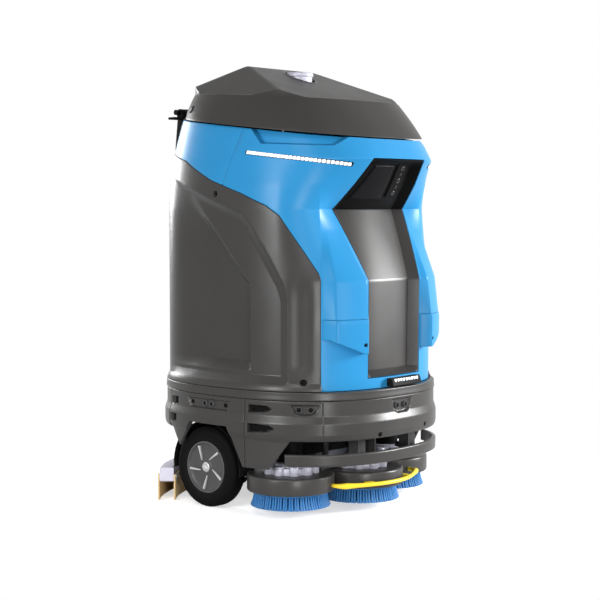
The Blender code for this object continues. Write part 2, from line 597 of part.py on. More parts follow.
# ---------------------------------------------------------------- body
def build_floor():
    outline = [tuple(plain(a, 0.0, -0.005).xy) for a in angles_between(-180.0, 172.5)]
    inside = [tuple(plain(a, 0.0, -0.020).xy) for a in angles_between(-180.0, 172.5)]
    tray = prism("body_floor", outline, "Z", FLOOR_RIM_LOW, BODY_LOW - SEAT, "dark_shell")
    cut(tray, prism("floor_hollow", inside, "Z", FLOOR_RIM_LOW - 0.01, BODY_LOW - 0.008))
    cut(tray, *[rod(f"floor_bore_{i}", (x, y, BODY_LOW - 0.03), (0, 0, 1), POST_RADIUS + 0.004, 0.05)
                for i, (x, y) in enumerate(DECK_POSTS)])


def column_recess(z):
    """Depth of the pocket in the front shell that takes the column and the bezel."""
    if not COLUMN_LOW + 0.0005 < z < BROW - 0.0005:
        return 0.0
    return COLUMN_DEPTH * smooth_step(COLUMN_LOW, COLUMN_LOW + 0.012, z) + WALL + SEAT


def front_out(angle, z):
    recess = column_recess(z) if abs(angle) <= COLUMN_ANGLE - 0.05 else 0.0
    grip = mirrored(GRIP_EDGE)(angle)
    if grip > 0.0 and z > body_top(angle) - grip:
        recess += GRIP_DEPTH
    proud = ear_bulge(angle, z) if z > EAR_SEAM + 0.0001 else 0.0
    return skin(angle, z, proud, recess)


def front_in(angle, z):
    at_edge = COLUMN_ANGLE - 0.05 < abs(angle) < COLUMN_ANGLE + 0.05
    rib = skin(angle, z, 0.0, column_recess(z) if at_edge else 0.0) - skin(angle, z)
    return front_out(angle, z) + rib + (skin(angle, z, -WALL) - skin(angle, z))


def build_front_shell():
    c = COLUMN_ANGLE
    knots = SEAM_KNOTS + [s * a for s in (-1, 1) for a in (c - 0.1, 72.6, COVER_FRONT_ANGLE - 0.1)]
    low_side = mirrored(COVER_SEAM)

    def low(angle):
        return BODY_LOW if abs(angle) <= COVER_FRONT_ANGLE - 0.1 else low_side(angle) + SEAM

    def high(angle):
        if abs(angle) <= 78.0:
            return body_top(angle)
        return min(body_top(angle), shell_seam(angle))

    levels = [BODY_LOW, COLUMN_LOW, COLUMN_LOW + 0.001, COLUMN_LOW + 0.012, EAR_SEAM,
              EAR_SEAM + 0.0008, 0.57, 0.63, 0.69, WAIST, 0.80,
              BROW - 0.001, BROW, 0.88, 0.888, 0.905, 0.93]
    patch("front_shell", angles_between(-87.8, 87.8, knots=knots), levels, low, high, front_out, front_in,
          "blue_shell")


def build_side(side, sign):
    half = math.degrees(SEAM / BODY_HALF_WIDTH)

    def ordered(first, last):
        return sorted((sign * first, sign * last))

    levels = [BODY_LOW, 0.330, 0.40, 0.48, 0.56, 0.62, 0.68, 0.74, 0.78, 0.82, 0.865, 0.92]
    angles = angles_between(*ordered(COVER_FRONT_ANGLE + half, REAR_ANGLE - half), knots=SEAM_KNOTS)
    patch(f"side_cover_{side}", angles, levels, lambda a: BODY_LOW, cover_seam, skin,
          lambda a, z: skin(a, z, -WALL), "dark_shell")
    angles = angles_between(*ordered(78.2, REAR_ANGLE - half), knots=SEAM_KNOTS)
    patch(f"side_shell_{side}", angles, [0.79, 0.82, 0.865, 0.92, 0.975],
          lambda a: max(cover_seam(a), shell_seam(a) + SEAM if abs(a) < 87.81 else 0.0) + SEAM,
          body_top, skin,
          lambda a, z: skin(a, z, -WALL), "blue_shell")


def build_column():
    half = 0.4
    angles = angles_between(-COLUMN_ANGLE + half, COLUMN_ANGLE - half, step=5.0)

    def face(angle, z):
        lean = COLUMN_DEPTH * smooth_step(0.0, 2.2, COLUMN_ANGLE - half - abs(angle))
        lean *= smooth_step(COLUMN_LOW, COLUMN_LOW + 0.014, z)
        return skin(angle, z, 0.0, lean * (1.0 - smooth_step(BROW - 0.006, BROW, z)))

    def back(angle, z):
        return face(angle, z) + Vector((0.0, 0.0035, 0.0))

    knots = [-COLUMN_ANGLE + half + 2.2, COLUMN_ANGLE - half - 2.2]
    angles = sorted({*angles, *knots})
    levels = [COLUMN_LOW + 0.002, COLUMN_LOW + 0.014, 0.48, 0.57, 0.63, 0.69, WAIST - SEAM]
    patch("front_column", angles, levels, lambda a: levels[0], lambda a: levels[-1], face, back,
          "dark_shell")
    levels = [WAIST, 0.80, 0.83, BROW - 0.006, BROW - 0.002]
    patch("sensor_bezel", angles, levels, lambda a: levels[0], lambda a: levels[-1], face, back,
          "black_plastic")
    window = [-15.0, -10.0, -5.0, 0.0, 2.5]
    cell = [5.0, 10.0, 13.0]
    for name, columns, low, high, out, look in (("sensor_window", window, 0.765, 0.845, 0.002, "black_glass"),
                                                ("depth_camera_bar", cell, 0.770, 0.850, 0.004,
                                                 "black_plastic")):
        patch(name, columns, [low, 0.80, 0.83, high], lambda a: low, lambda a: high,
              lambda a, z: face(a, z) + Vector((0.0, -out - 0.0008, 0.0)),
              lambda a, z: face(a, z) + Vector((0.0, -0.0008, 0.0)), look)


def build_ear_caps():
    for side, sign in (("right", -1), ("left", 1)):
        ends = sorted((sign * COLUMN_ANGLE, sign * COVER_FRONT_ANGLE))
        angles = angles_between(*ends, knots=SEAM_KNOTS)
        angles = [a for a in angles if COLUMN_ANGLE < abs(a) < COVER_FRONT_ANGLE]
        patch(f"ear_cap_{side}", angles, [EAR_LOW, 0.42, 0.44, EAR_SEAM - SEAT], ear_bottom,
              lambda a: EAR_SEAM - SEAT, lambda a, z: skin(a, z, ear_bulge(a, z) + 0.003),
              lambda a, z: skin(a, z, 0.0005), "blue_shell")


def build_lights():
    centre = mirrored(((-74.7, 0.876), (-27.6, 0.846)))
    for side, sign in (("right", -1), ("left", 1)):
        angles = angles_between(*sorted((sign * 74.4, sign * 28.2)), knots=SEAM_KNOTS)
        patch(f"led_strip_{side}", angles, [0.80, 0.90],
              lambda a: centre(a) - 0.004, lambda a: centre(a) + 0.004,
              lambda a, z: skin(a, z, 0.0030), lambda a, z: skin(a, z, 0.0010), "led_white")
    patch("front_lamp", [-7.5, 0.0, 7.5, 15.0], [0.3105, 0.330],
          lambda a: 0.3105, lambda a: 0.330, lambda a, z: skin(a, z, 0.022 - 0.3 * (z - 0.3105)),
          lambda a, z: skin(a, z, 0.0007), "black_plastic")


def build_rear():
    columns = [REAR_ANGLE + 0.05 + i * (360.0 - 2 * (REAR_ANGLE + 0.05)) / 10 for i in range(11)]
    top = body_top(180.0)

    def out(angle, z):
        return skin(angle if angle <= 180.0 else angle - 360.0, z, 0.0)

    def inside(angle, z):
        return skin(angle if angle <= 180.0 else angle - 360.0, z, -WALL)

    panel = patch("rear_panel", columns, [BODY_LOW, 0.45, 0.60, 0.74, 0.80, 0.865, 0.92, 1.0],
                  lambda a: BODY_LOW, lambda a: top - REAR_DROP, out, inside, "dark_shell")
    cut(panel, rod("stop_bore", (-0.115, 0.25, 0.784), (0, 1, 0), 0.011, 0.10, sides=16))
    patch("touch_screen", [172.0, 176.0, 180.0, 184.0, 188.0, 192.0],
          [SCREEN_LOW, 0.74, 0.80, SCREEN_HIGH], lambda a: SCREEN_LOW, lambda a: SCREEN_HIGH,
          lambda a, z: out(a, z) + Vector((0, 0.010, 0)),
          lambda a, z: out(a, z) + Vector((0, 0.0006, 0)), "black_glass")
    pivot = (-0.115, 0.303, 0.784)
    stop = [(0.0, -0.004), (0.0102, -0.004), (0.0102, 0.016), (0.019, 0.018), (0.020, 0.025), (0.014, 0.031),
            (0.0, 0.033)]
    turned("estop_button", stop, pivot, (0, 1, 0), "red", 20, pivot)


def build_tanks():
    floor = BODY_LOW + SEAT
    clean = block("clean_water_tank", (-0.20, -0.20, floor), (0.20, 0.20, 0.590), "tank_grey",
                  round_edges=0.05)
    cut(clean, block("clean_inside", (-0.195, -0.195, floor + 0.005), (0.195, 0.195, 0.585),
                     round_edges=0.046),
        rod("clean_filler", (0.10, 0.176, 0.55), (0, 0, 1), 0.016, 0.1))
    low = 0.590 + SEAT
    recovery = block("recovery_tank", (-0.19, -0.19, low), (0.19, 0.155, 0.890), "tank_grey",
                     round_edges=0.05)
    cut(recovery, block("recovery_inside", (-0.185, -0.185, low + 0.005), (0.185, 0.150, 0.95),
                        round_edges=0.046))
    block("controller_box", (-0.16, 0.2103, floor), (-0.02, 0.255, 0.48), "black_plastic")
    block("water_pump", (0.03, 0.2103, floor), (0.13, 0.26, 0.40), "black_plastic")
    vac = rod("vacuum_motor", (0.0, 0.205, low), (0, 0, 1), 0.045, 0.12, "black_plastic", 20)
    join(vac, rod("vacuum_neck", (0.0, 0.205, low + 0.1), (0, 0, 1), 0.02, 0.06))
    block("battery_pack", (-0.17, 0.0, CHASSIS_LOW + CHASSIS_THICK + SEAT), (0.17, 0.20, 0.296), "battery")


# ---------------------------------------------------------------- lid
def lid_plan(angle, scale_x, scale_y, centre_y):
    radius = plan_radius(angle, LID_HALF_WIDTH * scale_x, LID_HALF_LENGTH * scale_y)
    turned_to = math.radians(angle)
    return radius * math.sin(turned_to), centre_y - radius * math.cos(turned_to)


def band_top(y):
    return 1.003 + 0.061 * (y + 0.25)


def roof(x, y):
    """Hipped roof over the band: one ridge across, a long fall to the front, short ones elsewhere."""
    front = HEIGHT - 0.39 * (RIDGE_Y - y)
    rear = HEIGHT - 0.44 * (y - RIDGE_Y)
    side = HEIGHT - 0.72 * max(0.0, abs(x) - RIDGE_HALF)
    return max(band_top(y), min(front, rear, side, HEIGHT))


def lid_rings(angles, inset, drop):
    """Rings of the lid from its lower edge, over the band and up the roof to the ridge."""
    base = [lid_plan(a, 1.0 - inset, 1.0 - inset, LID_CENTRE_Y) for a in angles]
    full = [lid_plan(a, LID_UPPER_WIDTH - inset, LID_UPPER_REAR - inset, LID_UPPER_Y) for a in angles]
    short = [lid_plan(a, LID_UPPER_WIDTH - inset, LID_UPPER_FRONT - inset, LID_UPPER_Y) for a in angles]
    upper = [s if abs(a) < 90.0 else f for a, s, f in zip(angles, short, full)]
    ridge = [(max(-RIDGE_HALF, min(RIDGE_HALF, x)), RIDGE_Y) for x, _ in full]
    rings = [[(x, y, lid_edge_height(y)) for x, y in base], [(x, y, band_top(y) - drop) for x, y in upper]]
    for share in (0.92, 0.70, 0.40, 0.0):
        points = [Vector(r).lerp(Vector(u), share) for r, u in zip(ridge, upper)]
        rings.append([(x, y, roof(x, y) - drop) for x, y in points])
    return rings


def build_lid():
    angles = [-180.0 + 10.0 * i for i in range(36)]
    wall = 0.004
    bm = bmesh.new()
    lower_edges = []
    for inset, drop in ((0.0, 0.0), (0.016, wall)):
        loops = [[bm.verts.new(p) for p in points] for points in lid_rings(angles, inset, drop)]
        for low, high in zip(loops, loops[1:]):
            for i in range(len(angles)):
                j = (i + 1) % len(angles)
                bm.faces.new((low[i], low[j], high[j], high[i]))
        lower_edges.append(loops[0])
    outer, inner = lower_edges
    for i in range(len(angles)):
        j = (i + 1) % len(angles)
        bm.faces.new((outer[j], outer[i], inner[i], inner[j]))
    bmesh.ops.remove_doubles(bm, verts=bm.verts, dist=1e-5)
    pivot = (0, *LID_PIN)
    shell = finish("lid_shell", bm, "dark_shell", pivot, smooth=True)
    y, z = LID_PIN
    lugs = []
    r = KNUCKLE_RADIUS
    eye = [(y + r * math.cos(t), z + r * math.sin(t)) for t in (math.pi * (i / 8 - 0.5) for i in range(9))]
    for sign in (-1, 1):
        ends = sorted((sign * 0.120, sign * 0.140))
        corners = eye + [(0.236, z + r - 0.002), (0.236, z - r + 0.002)]
        lugs.append(prism(f"lid_lug_{sign}", corners, "X", *ends))
    join(shell, *lugs)
    cut(shell, rod("lid_bore", (-0.15, y, z), (1, 0, 0), PIN_RADIUS + RUN, 0.30, sides=16))
    well_floor = 1.046
    cup = rod("turret_cup", (0.0, 0.0, well_floor - 0.006), (0, 0, 1), 0.044, 0.02, sides=20)
    for vert in cup.data.vertices:
        if vert.co.z > well_floor:
            vert.co.z = roof(vert.co.x, vert.co.y) - wall / 2.0
    join(shell, cup)
    cut(shell, rod("turret_well", (0.0, 0.0, well_floor), (0, 0, 1), 0.040, 0.08, sides=20))
    base = well_floor + SEAT
    turret = [(0.0, base), (0.034, base), (0.034, base + 0.036), (0.031, base + 0.041), (0.0, base + 0.041)]
    turned("lidar_turret", turret, (0, 0, 0), (0, 0, 1), "gearbox_grey", 24, pivot)


def housing_out(angle, z):
    point = skin(angle, z)
    depth = HOUSING_BACK - 0.02 * smooth_step(0.90, 0.84, z)
    return Vector((point.x, max(point.y + 0.004, depth), z))


def housing_in(angle, z):
    return skin(angle, z, 0.0005)


def build_hinge():
    y, z = LID_PIN
    plate_low = body_top(180.0) - REAR_DROP + SEAT
    bracket = block("lid_hinge_bracket", (-0.185, 0.2675, plate_low), (0.185, 0.293, z - 0.0125),
                    "black_plastic")
    r = KNUCKLE_RADIUS
    arch = [(y + r * math.cos(t), z + r * math.sin(t)) for t in (math.pi * i / 6 for i in range(7))]
    parts = [rod("lid_pin", (-0.172, y, z), (1, 0, 0), PIN_RADIUS, 0.344, sides=12)]
    for sign in (-1, 1):
        ends = sorted((sign * 0.1425, sign * 0.1585))
        parts.append(prism(f"knuckle_{sign}", arch + [(y - r, z - 0.015), (y + r, z - 0.015)], "X", *ends))
    angles = [180.0 + HOUSING_ANGLE * i / 6 for i in range(-6, 7)]
    housing_top = plate_low + 0.003
    parts.append(patch("hinge_housing", angles, [HOUSING_LOW, 0.865, 0.88, 0.90, 0.92, 0.95, housing_top],
                       lambda a: HOUSING_LOW, lambda a: housing_top, housing_out, housing_in,
                       "black_plastic"))
    join(bracket, *parts)


def main():
    for old in list(bpy.data.objects):
        bpy.data.objects.remove(old, do_unlink=True)
    build_chassis()
    build_casters()
    for side, sign in (("right", -1), ("left", 1)):
        build_drive(side, sign)
        build_side(side, sign)
    build_deck()
    build_bump_bar()
    build_squeegee()
    build_skirt()
    build_bumper()
    build_floor()
    build_front_shell()
    build_column()
    build_ear_caps()
    build_lights()
    build_rear()
    build_tanks()
    build_lid()
    build_hinge()


main()
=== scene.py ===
"""Looks of a robotic floor scrubber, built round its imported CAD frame.

Metres, +Z up, front towards -Y. Every moulded panel is a patch of one skin, given by an angle round the
machine (0 at the front, positive towards its left, +X) and a height. Panels are grids on that skin whose
rows and columns gather at edges, pockets and screw holes, so that each edge is rolled and each recess cut.
"""

import json
import logging
import math
import random
from dataclasses import dataclass, field
from enum import Enum
from typing import Callable, Iterable, Sequence

import bmesh
import bpy
from mathutils import Matrix, Vector

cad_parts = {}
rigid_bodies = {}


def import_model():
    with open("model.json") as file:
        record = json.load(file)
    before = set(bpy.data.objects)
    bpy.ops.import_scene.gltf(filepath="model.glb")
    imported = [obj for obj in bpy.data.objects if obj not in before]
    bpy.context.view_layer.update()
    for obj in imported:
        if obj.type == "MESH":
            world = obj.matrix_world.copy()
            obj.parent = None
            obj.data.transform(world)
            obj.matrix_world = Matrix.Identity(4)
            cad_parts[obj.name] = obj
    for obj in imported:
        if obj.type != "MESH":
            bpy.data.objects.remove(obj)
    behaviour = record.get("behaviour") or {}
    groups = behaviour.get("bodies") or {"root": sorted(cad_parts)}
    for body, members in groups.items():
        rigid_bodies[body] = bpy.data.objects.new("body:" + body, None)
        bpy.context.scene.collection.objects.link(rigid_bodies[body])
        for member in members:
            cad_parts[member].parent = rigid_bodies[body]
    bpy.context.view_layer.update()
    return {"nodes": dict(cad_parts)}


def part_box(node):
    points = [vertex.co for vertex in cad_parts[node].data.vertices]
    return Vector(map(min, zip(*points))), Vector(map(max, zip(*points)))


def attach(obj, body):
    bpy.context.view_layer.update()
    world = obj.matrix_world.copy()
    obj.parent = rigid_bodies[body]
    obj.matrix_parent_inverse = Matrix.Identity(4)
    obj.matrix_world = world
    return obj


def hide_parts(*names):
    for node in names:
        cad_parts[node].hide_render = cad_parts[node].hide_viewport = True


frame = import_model()

LOG = logging.getLogger("scrubber")
Edge = Callable[[float], float]
Pair = tuple[float, float]


class Side(Enum):
    """Side of the machine, with the sign of its X."""

    RIGHT = -1
    LEFT = 1

    @property
    def word(self) -> str:
        """Name of the side as the CAD nodes spell it."""
        return self.name.lower()


# ------------------------------------------------------------------ curves
def smooth_step(low: float, high: float, value: float) -> float:
    """Eased step.

    Args:
        low: Value at which the step begins.
        high: Value at which it is complete.
        value: Where to read it.

    Returns:
        0 below low, 1 above high, an S curve between.
    """
    t = ramp(low, high, value)
    return t * t * (3.0 - 2.0 * t)


def ramp(low: float, high: float, value: float) -> float:
    """Straight step from 0 at low to 1 at high."""
    return min(1.0, max(0.0, (value - low) / (high - low)))


def follow(knots: Sequence[Pair], value: float) -> float:
    """Straight-line interpolation through knots.

    Args:
        knots: (position, value) pairs in rising order.
        value: Position to read.

    Returns:
        The value there, held level beyond both ends.
    """
    if value <= knots[0][0]:
        return knots[0][1]
    for (x0, y0), (x1, y1) in zip(knots, knots[1:]):
        if value <= x1:
            return y0 + (y1 - y0) * (value - x0) / (x1 - x0)
    return knots[-1][1]


def mirrored(knots: Sequence[Pair]) -> Edge:
    """Edge given by knots for the right side, read at any angle."""
    return lambda angle: follow(knots, -abs(angle))


def span_of(side: Side, near: float, far: float) -> Pair:
    """Two angles taken to one side, the lower one first."""
    first, last = sorted((side.value * near, side.value * far))
    return first, last


def level(height: float) -> Edge:
    """Edge at one height."""
    return lambda angle: height


def spread(first: float, last: float, step: float, knots: Iterable[float] = ()) -> list[float]:
    """Evenly spread values that include both ends and every knot between them.

    Args:
        first: Lowest value.
        last: Highest value.
        step: Largest gap between neighbours.
        knots: Further values to include.

    Returns:
        Rising values; even ones too close to a knot are left out.
    """
    count = max(1, math.ceil((last - first) / step))
    fixed = sorted({first, last, *(k for k in knots if first < k < last)})
    even = (first + (last - first) * i / count for i in range(1, count))
    return sorted(fixed + [e for e in even if all(abs(e - k) > 0.3 * step for k in fixed)])


@dataclass(frozen=True)
class Skin:
    """The body's outer surface: a superellipse in plan that tapers upwards, with a waist at the front."""

    half_width: float = 0.300
    half_length: float = 0.325
    power: float = 2.5
    flare: float = 0.012
    bottom: float = 0.308
    waist: float = 0.740
    brow: float = 0.861
    column_low: float = 0.335
    column_edge: float = 20.0
    cover_edge: float = 40.2
    rear_edge: float = 140.0
    ear_seam: float = 0.480
    ear_proud: float = 0.026
    taper: tuple[Pair, ...] = ((0.74, 1.0), (0.80, 0.99), (0.865, 0.965), (0.92, 0.925), (0.975, 0.88))
    front: tuple[Pair, ...] = ((0.308, -0.012), (0.57, -0.010), (0.740, -0.070), (0.861, 0.014),
                               (0.91, -0.003))
    column_half: tuple[Pair, ...] = ((0.57, 0.1025), (0.740, 0.140), (0.861, 0.105))

    def radius(self, angle: float, half_width: float, half_length: float) -> float:
        """Radius of the superellipse with these half axes at an angle."""
        across, along = abs(math.sin(math.radians(angle))), abs(math.cos(math.radians(angle)))
        reach = (across / half_width) ** self.power + (along / half_length) ** self.power
        return reach ** (-1 / self.power)

    def bent(self, angle: float, z: float) -> float:
        """Real angle of a nominal one: the column edge follows the column's width at this height."""
        size = abs(angle)
        if size >= self.cover_edge:
            return angle
        reach = self.radius(self.column_edge, self.half_width, self.half_length) + follow(self.front, z)
        edge = math.degrees(math.asin(follow(self.column_half, z) / reach))
        if size <= self.column_edge:
            return angle * edge / self.column_edge
        share = (size - self.column_edge) / (self.cover_edge - self.column_edge)
        return math.copysign(edge + share * (self.cover_edge - edge), angle)

    def body(self, angle: float, z: float, out: float = 0.0) -> Vector:
        """Point of the upper body.

        Args:
            angle: Nominal angle in degrees.
            z: Height.
            out: Distance outwards from the skin.

        Returns:
            The point in the row frame.
        """
        taper = follow(self.taper, z)
        radius = self.radius(angle, self.half_width * taper, self.half_length * taper)
        radius += (1.0 - smooth_step(18.0, 60.0, abs(angle))) * follow(self.front, z) + out
        turn = math.radians(self.bent(angle, z))
        return Vector((radius * math.sin(turn), -radius * math.cos(turn), z))

    def skirt(self, angle: float, z: float, out: float = 0.0) -> Vector:
        """Point of the straight skirt at a distance outwards."""
        radius = self.radius(angle, self.half_width + self.flare, self.half_length + self.flare) + out
        turn = math.radians(angle)
        return Vector((radius * math.sin(turn), -radius * math.cos(turn), z))

    def lid_edge(self, y: float) -> float:
        """Height of the lid's lower edge, which rises towards the back."""
        return 0.911 + 0.11 * (y + 0.31)

    def top(self, angle: float) -> float:
        """Upper edge of the body, just under the lid."""
        return self.lid_edge(self.body(angle, 0.93).y) - 0.003

    def ear(self, angle: float, z: float) -> float:
        """How far the ear beside the column stands out."""
        across = ramp(self.column_edge + 0.2, 22.4, abs(angle)) * (1.0 - ramp(35.2, 40.0, abs(angle)))
        return self.ear_proud * across * (1.0 - ramp(self.ear_seam - 0.01, 0.69, z))


SKIN = Skin()
COVER_SEAM = mirrored(((-180.0, 0.930), (-116.7, 0.860), (-96.2, 0.811), (-77.0, 0.779), (-64.1, 0.750),
                       (-57.8, 0.726), (-45.0, 0.621), (-40.8, 0.585)))
SHELL_SEAM = mirrored(((-87.8, 0.8006), (-78.0, 0.936)))
SEAM_KNOTS = [s * a for s in (-1, 1) for a in (20.0, 27.7, 34.9, 40.2, 45.0, 57.8, 64.1, 67.5, 73.6, 77.0,
                                               78.0, 87.8, 96.2, 116.7)]
ARC = math.radians(0.31)          # metres of skin per degree, near enough everywhere


# ------------------------------------------------------------------ reliefs
@dataclass(frozen=True)
class Pocket:
    """Recess in a panel, or a raised field where its depth is negative, with a sloped wall.

    Attributes:
        outline: Corners as (angle, height), given for the right side.
        depth: How far its floor lies behind the panel.
        lip: Width of its wall along the skin.
        fade: Angles between which the depth grows from nothing, if any.
        sink: Heights between which it dies away upwards, if any.
        both: Whether it is on both sides of the machine.
        dark: Whether its floor is black.
    """

    outline: tuple[Pair, ...]
    depth: float
    lip: float = 0.003
    fade: Pair | None = None
    sink: Pair | None = None
    both: bool = True
    dark: bool = False

    def marks(self) -> tuple[list[float], list[float]]:
        """Angles and heights at which a panel's grid needs lines."""
        angles, heights = zip(*self.outline)
        turn = self.lip / ARC
        near = [v for a in (min(angles), max(angles)) for v in (a - turn / 2, a, a + turn / 2)]
        if self.both:
            near += [-a for a in near]
        rows = [v for z in (min(heights), max(heights)) for v in (z - self.lip / 2, z, z + self.lip / 2)]
        return near, rows

    def out(self, angle: float, z: float) -> float:
        """Displacement of the panel at a place, negative inwards."""
        a = -abs(angle) if self.both else angle
        angles, heights = zip(*self.outline)
        if not (min(angles) - 3 < a < max(angles) + 3 and min(heights) - 0.02 < z < max(heights) + 0.02):
            return 0.0
        u, inside, nearest = a * ARC, False, 1.0
        for (a0, z0), (a1, z1) in zip(self.outline, self.outline[1:] + self.outline[:1]):
            u0, u1 = a0 * ARC, a1 * ARC
            if (z0 > z) != (z1 > z) and u < u0 + (z - z0) * (u1 - u0) / (z1 - z0):
                inside = not inside
            run, rise = u1 - u0, z1 - z0
            share = ramp(0.0, run * run + rise * rise, (u - u0) * run + (z - z0) * rise)
            nearest = min(nearest, math.hypot(u - u0 - share * run, z - z0 - share * rise))
        amount = ramp(-self.lip / 2, self.lip / 2, nearest if inside else -nearest)
        if self.fade:
            amount *= smooth_step(*self.fade, a)
        if self.sink:
            amount *= 1.0 - smooth_step(*self.sink, z)
        return -self.depth * amount


@dataclass(frozen=True)
class Hole:
    """Round counterbore in a panel, for a screw or a sensor.

    Attributes:
        angle: Its angle.
        z: Its height.
        radius: Radius of its floor.
        depth: How deep it goes.
        dark: Whether its floor and walls are black.
    """

    angle: float
    z: float
    radius: float = 0.0048
    depth: float = 0.004
    dark: bool = True

    def marks(self) -> tuple[list[float], list[float]]:
        """Angles and heights at which a panel's grid needs lines."""
        steps = [s * self.radius * f for s in (-1, 1) for f in (0.36, 0.72, 1.0, 1.22)] + [0.0]
        return [self.angle + s / ARC for s in steps], [self.z + s for s in steps]

    def out(self, angle: float, z: float) -> float:
        """Displacement of the panel at a place, negative inwards."""
        away = math.hypot((angle - self.angle) * ARC, z - self.z)
        return -self.depth * (1.0 - ramp(self.radius, self.radius * 1.2, away))


# ------------------------------------------------------------------ finishes
class Tree:
    """Short hand for building a node tree."""

    def __init__(self, tree: bpy.types.NodeTree) -> None:
        """Keeps the tree that nodes go into."""
        self.tree = tree

    def add(self, kind: str, **settings: object) -> bpy.types.Node:
        """Adds a node.

        Args:
            kind: Its type without the ShaderNode prefix.
            **settings: Its properties by name, or its input values by name with spaces as underscores.

        Returns:
            The node.
        """
        node = self.tree.nodes.new("ShaderNode" + kind)
        for name, value in settings.items():
            if hasattr(node, name):
                setattr(node, name, value)
            else:
                node.inputs[name.replace("_", " ")].default_value = value
        return node

    def link(self, source: bpy.types.NodeSocket, target: bpy.types.NodeSocket) -> None:
        """Joins two sockets."""
        self.tree.links.new(source, target)

    def feed(self, socket: bpy.types.NodeSocket, value: object) -> None:
        """Joins a socket to another one, or sets it to a number or an (r, g, b)."""
        if isinstance(value, bpy.types.NodeSocket):
            self.link(value, socket)
        else:
            socket.default_value = (*value, 1.0) if isinstance(value, tuple) else value

    def sum(self, operation: str, first: object, second: object) -> bpy.types.NodeSocket:
        """Result of a Math node whose inputs are sockets or numbers."""
        node = self.add("Math", operation=operation, use_clamp=operation != "SUBTRACT")
        self.feed(node.inputs[0], first)
        self.feed(node.inputs[1], second)
        return node.outputs[0]

    def blend(self, share: object, first: object, second: object) -> bpy.types.NodeSocket:
        """Colour between two, each a socket or an (r, g, b), at a share."""
        node = self.add("Mix", data_type="RGBA")
        for i, value in ((0, share), (6, first), (7, second)):
            self.feed(node.inputs[i], value)
        return node.outputs[2]

    def noise(self, scale: object, detail: float = 2.0) -> bpy.types.NodeSocket:
        """Noise over the piece's own coordinates."""
        cloud = self.add("TexNoise", Detail=detail)
        self.link(self.add("TexCoord").outputs["Object"], cloud.inputs["Vector"])
        self.feed(cloud.inputs["Scale"], scale)
        return cloud.outputs[0]


def effect(name: str, measure: str, outputs: Sequence[str],
           fill: Callable[[Tree, bpy.types.Node, bpy.types.Node], None]) -> bpy.types.NodeTree:
    """Shared effect as a node group, built once.

    Args:
        name: Name of the group.
        measure: Name of its one input.
        outputs: Names of its outputs.
        fill: Builds the inside from the tree, its input node and its output node.

    Returns:
        The group.
    """
    group = bpy.data.node_groups.get(name)
    if group:
        return group
    group = bpy.data.node_groups.new(name, "ShaderNodeTree")
    group.interface.new_socket(name=measure, in_out="INPUT", socket_type="NodeSocketFloat")
    for label in outputs:
        group.interface.new_socket(name=label, in_out="OUTPUT", socket_type="NodeSocketFloat")
    start, end = group.nodes.new("NodeGroupInput"), group.nodes.new("NodeGroupOutput")
    fill(Tree(group), start, end)
    return group


def fill_grain(tree: Tree, start: bpy.types.Node, end: bpy.types.Node) -> None:
    """Moulded texture: a fine pebble as height, and a broad cloud as tint."""
    tree.link(tree.noise(start.outputs["Scale"], 3.0), end.inputs["Height"])
    tree.link(tree.noise(9.0), end.inputs["Cloud"])


def fill_wear(tree: Tree, start: bpy.types.Node, end: bpy.types.Node) -> None:
    """Rubbed edges and a painted edge highlight: convex places, broken up by noise."""
    shape = tree.add("NewGeometry")
    edge = tree.add("MapRange", From_Min=0.52, From_Max=0.60)
    tree.link(shape.outputs["Pointiness"], edge.inputs["Value"])
    broken = tree.sum("MULTIPLY", edge.outputs[0], tree.noise(140.0, 3.0))
    tree.link(tree.sum("MULTIPLY", broken, start.outputs["Amount"]), end.inputs["Mask"])


def fill_dust(tree: Tree, start: bpy.types.Node, end: bpy.types.Node) -> None:
    """Dust settled on faces that look up."""
    shape = tree.add("NewGeometry")
    split = tree.add("SeparateXYZ")
    tree.link(shape.outputs["Normal"], split.inputs[0])
    up = tree.sum("POWER", tree.sum("MAXIMUM", split.outputs["Z"], 0.0), 2.0)
    patchy = tree.sum("MULTIPLY", up, tree.noise(45.0, 4.0))
    tree.link(tree.sum("MULTIPLY", patchy, start.outputs["Amount"]), end.inputs["Mask"])


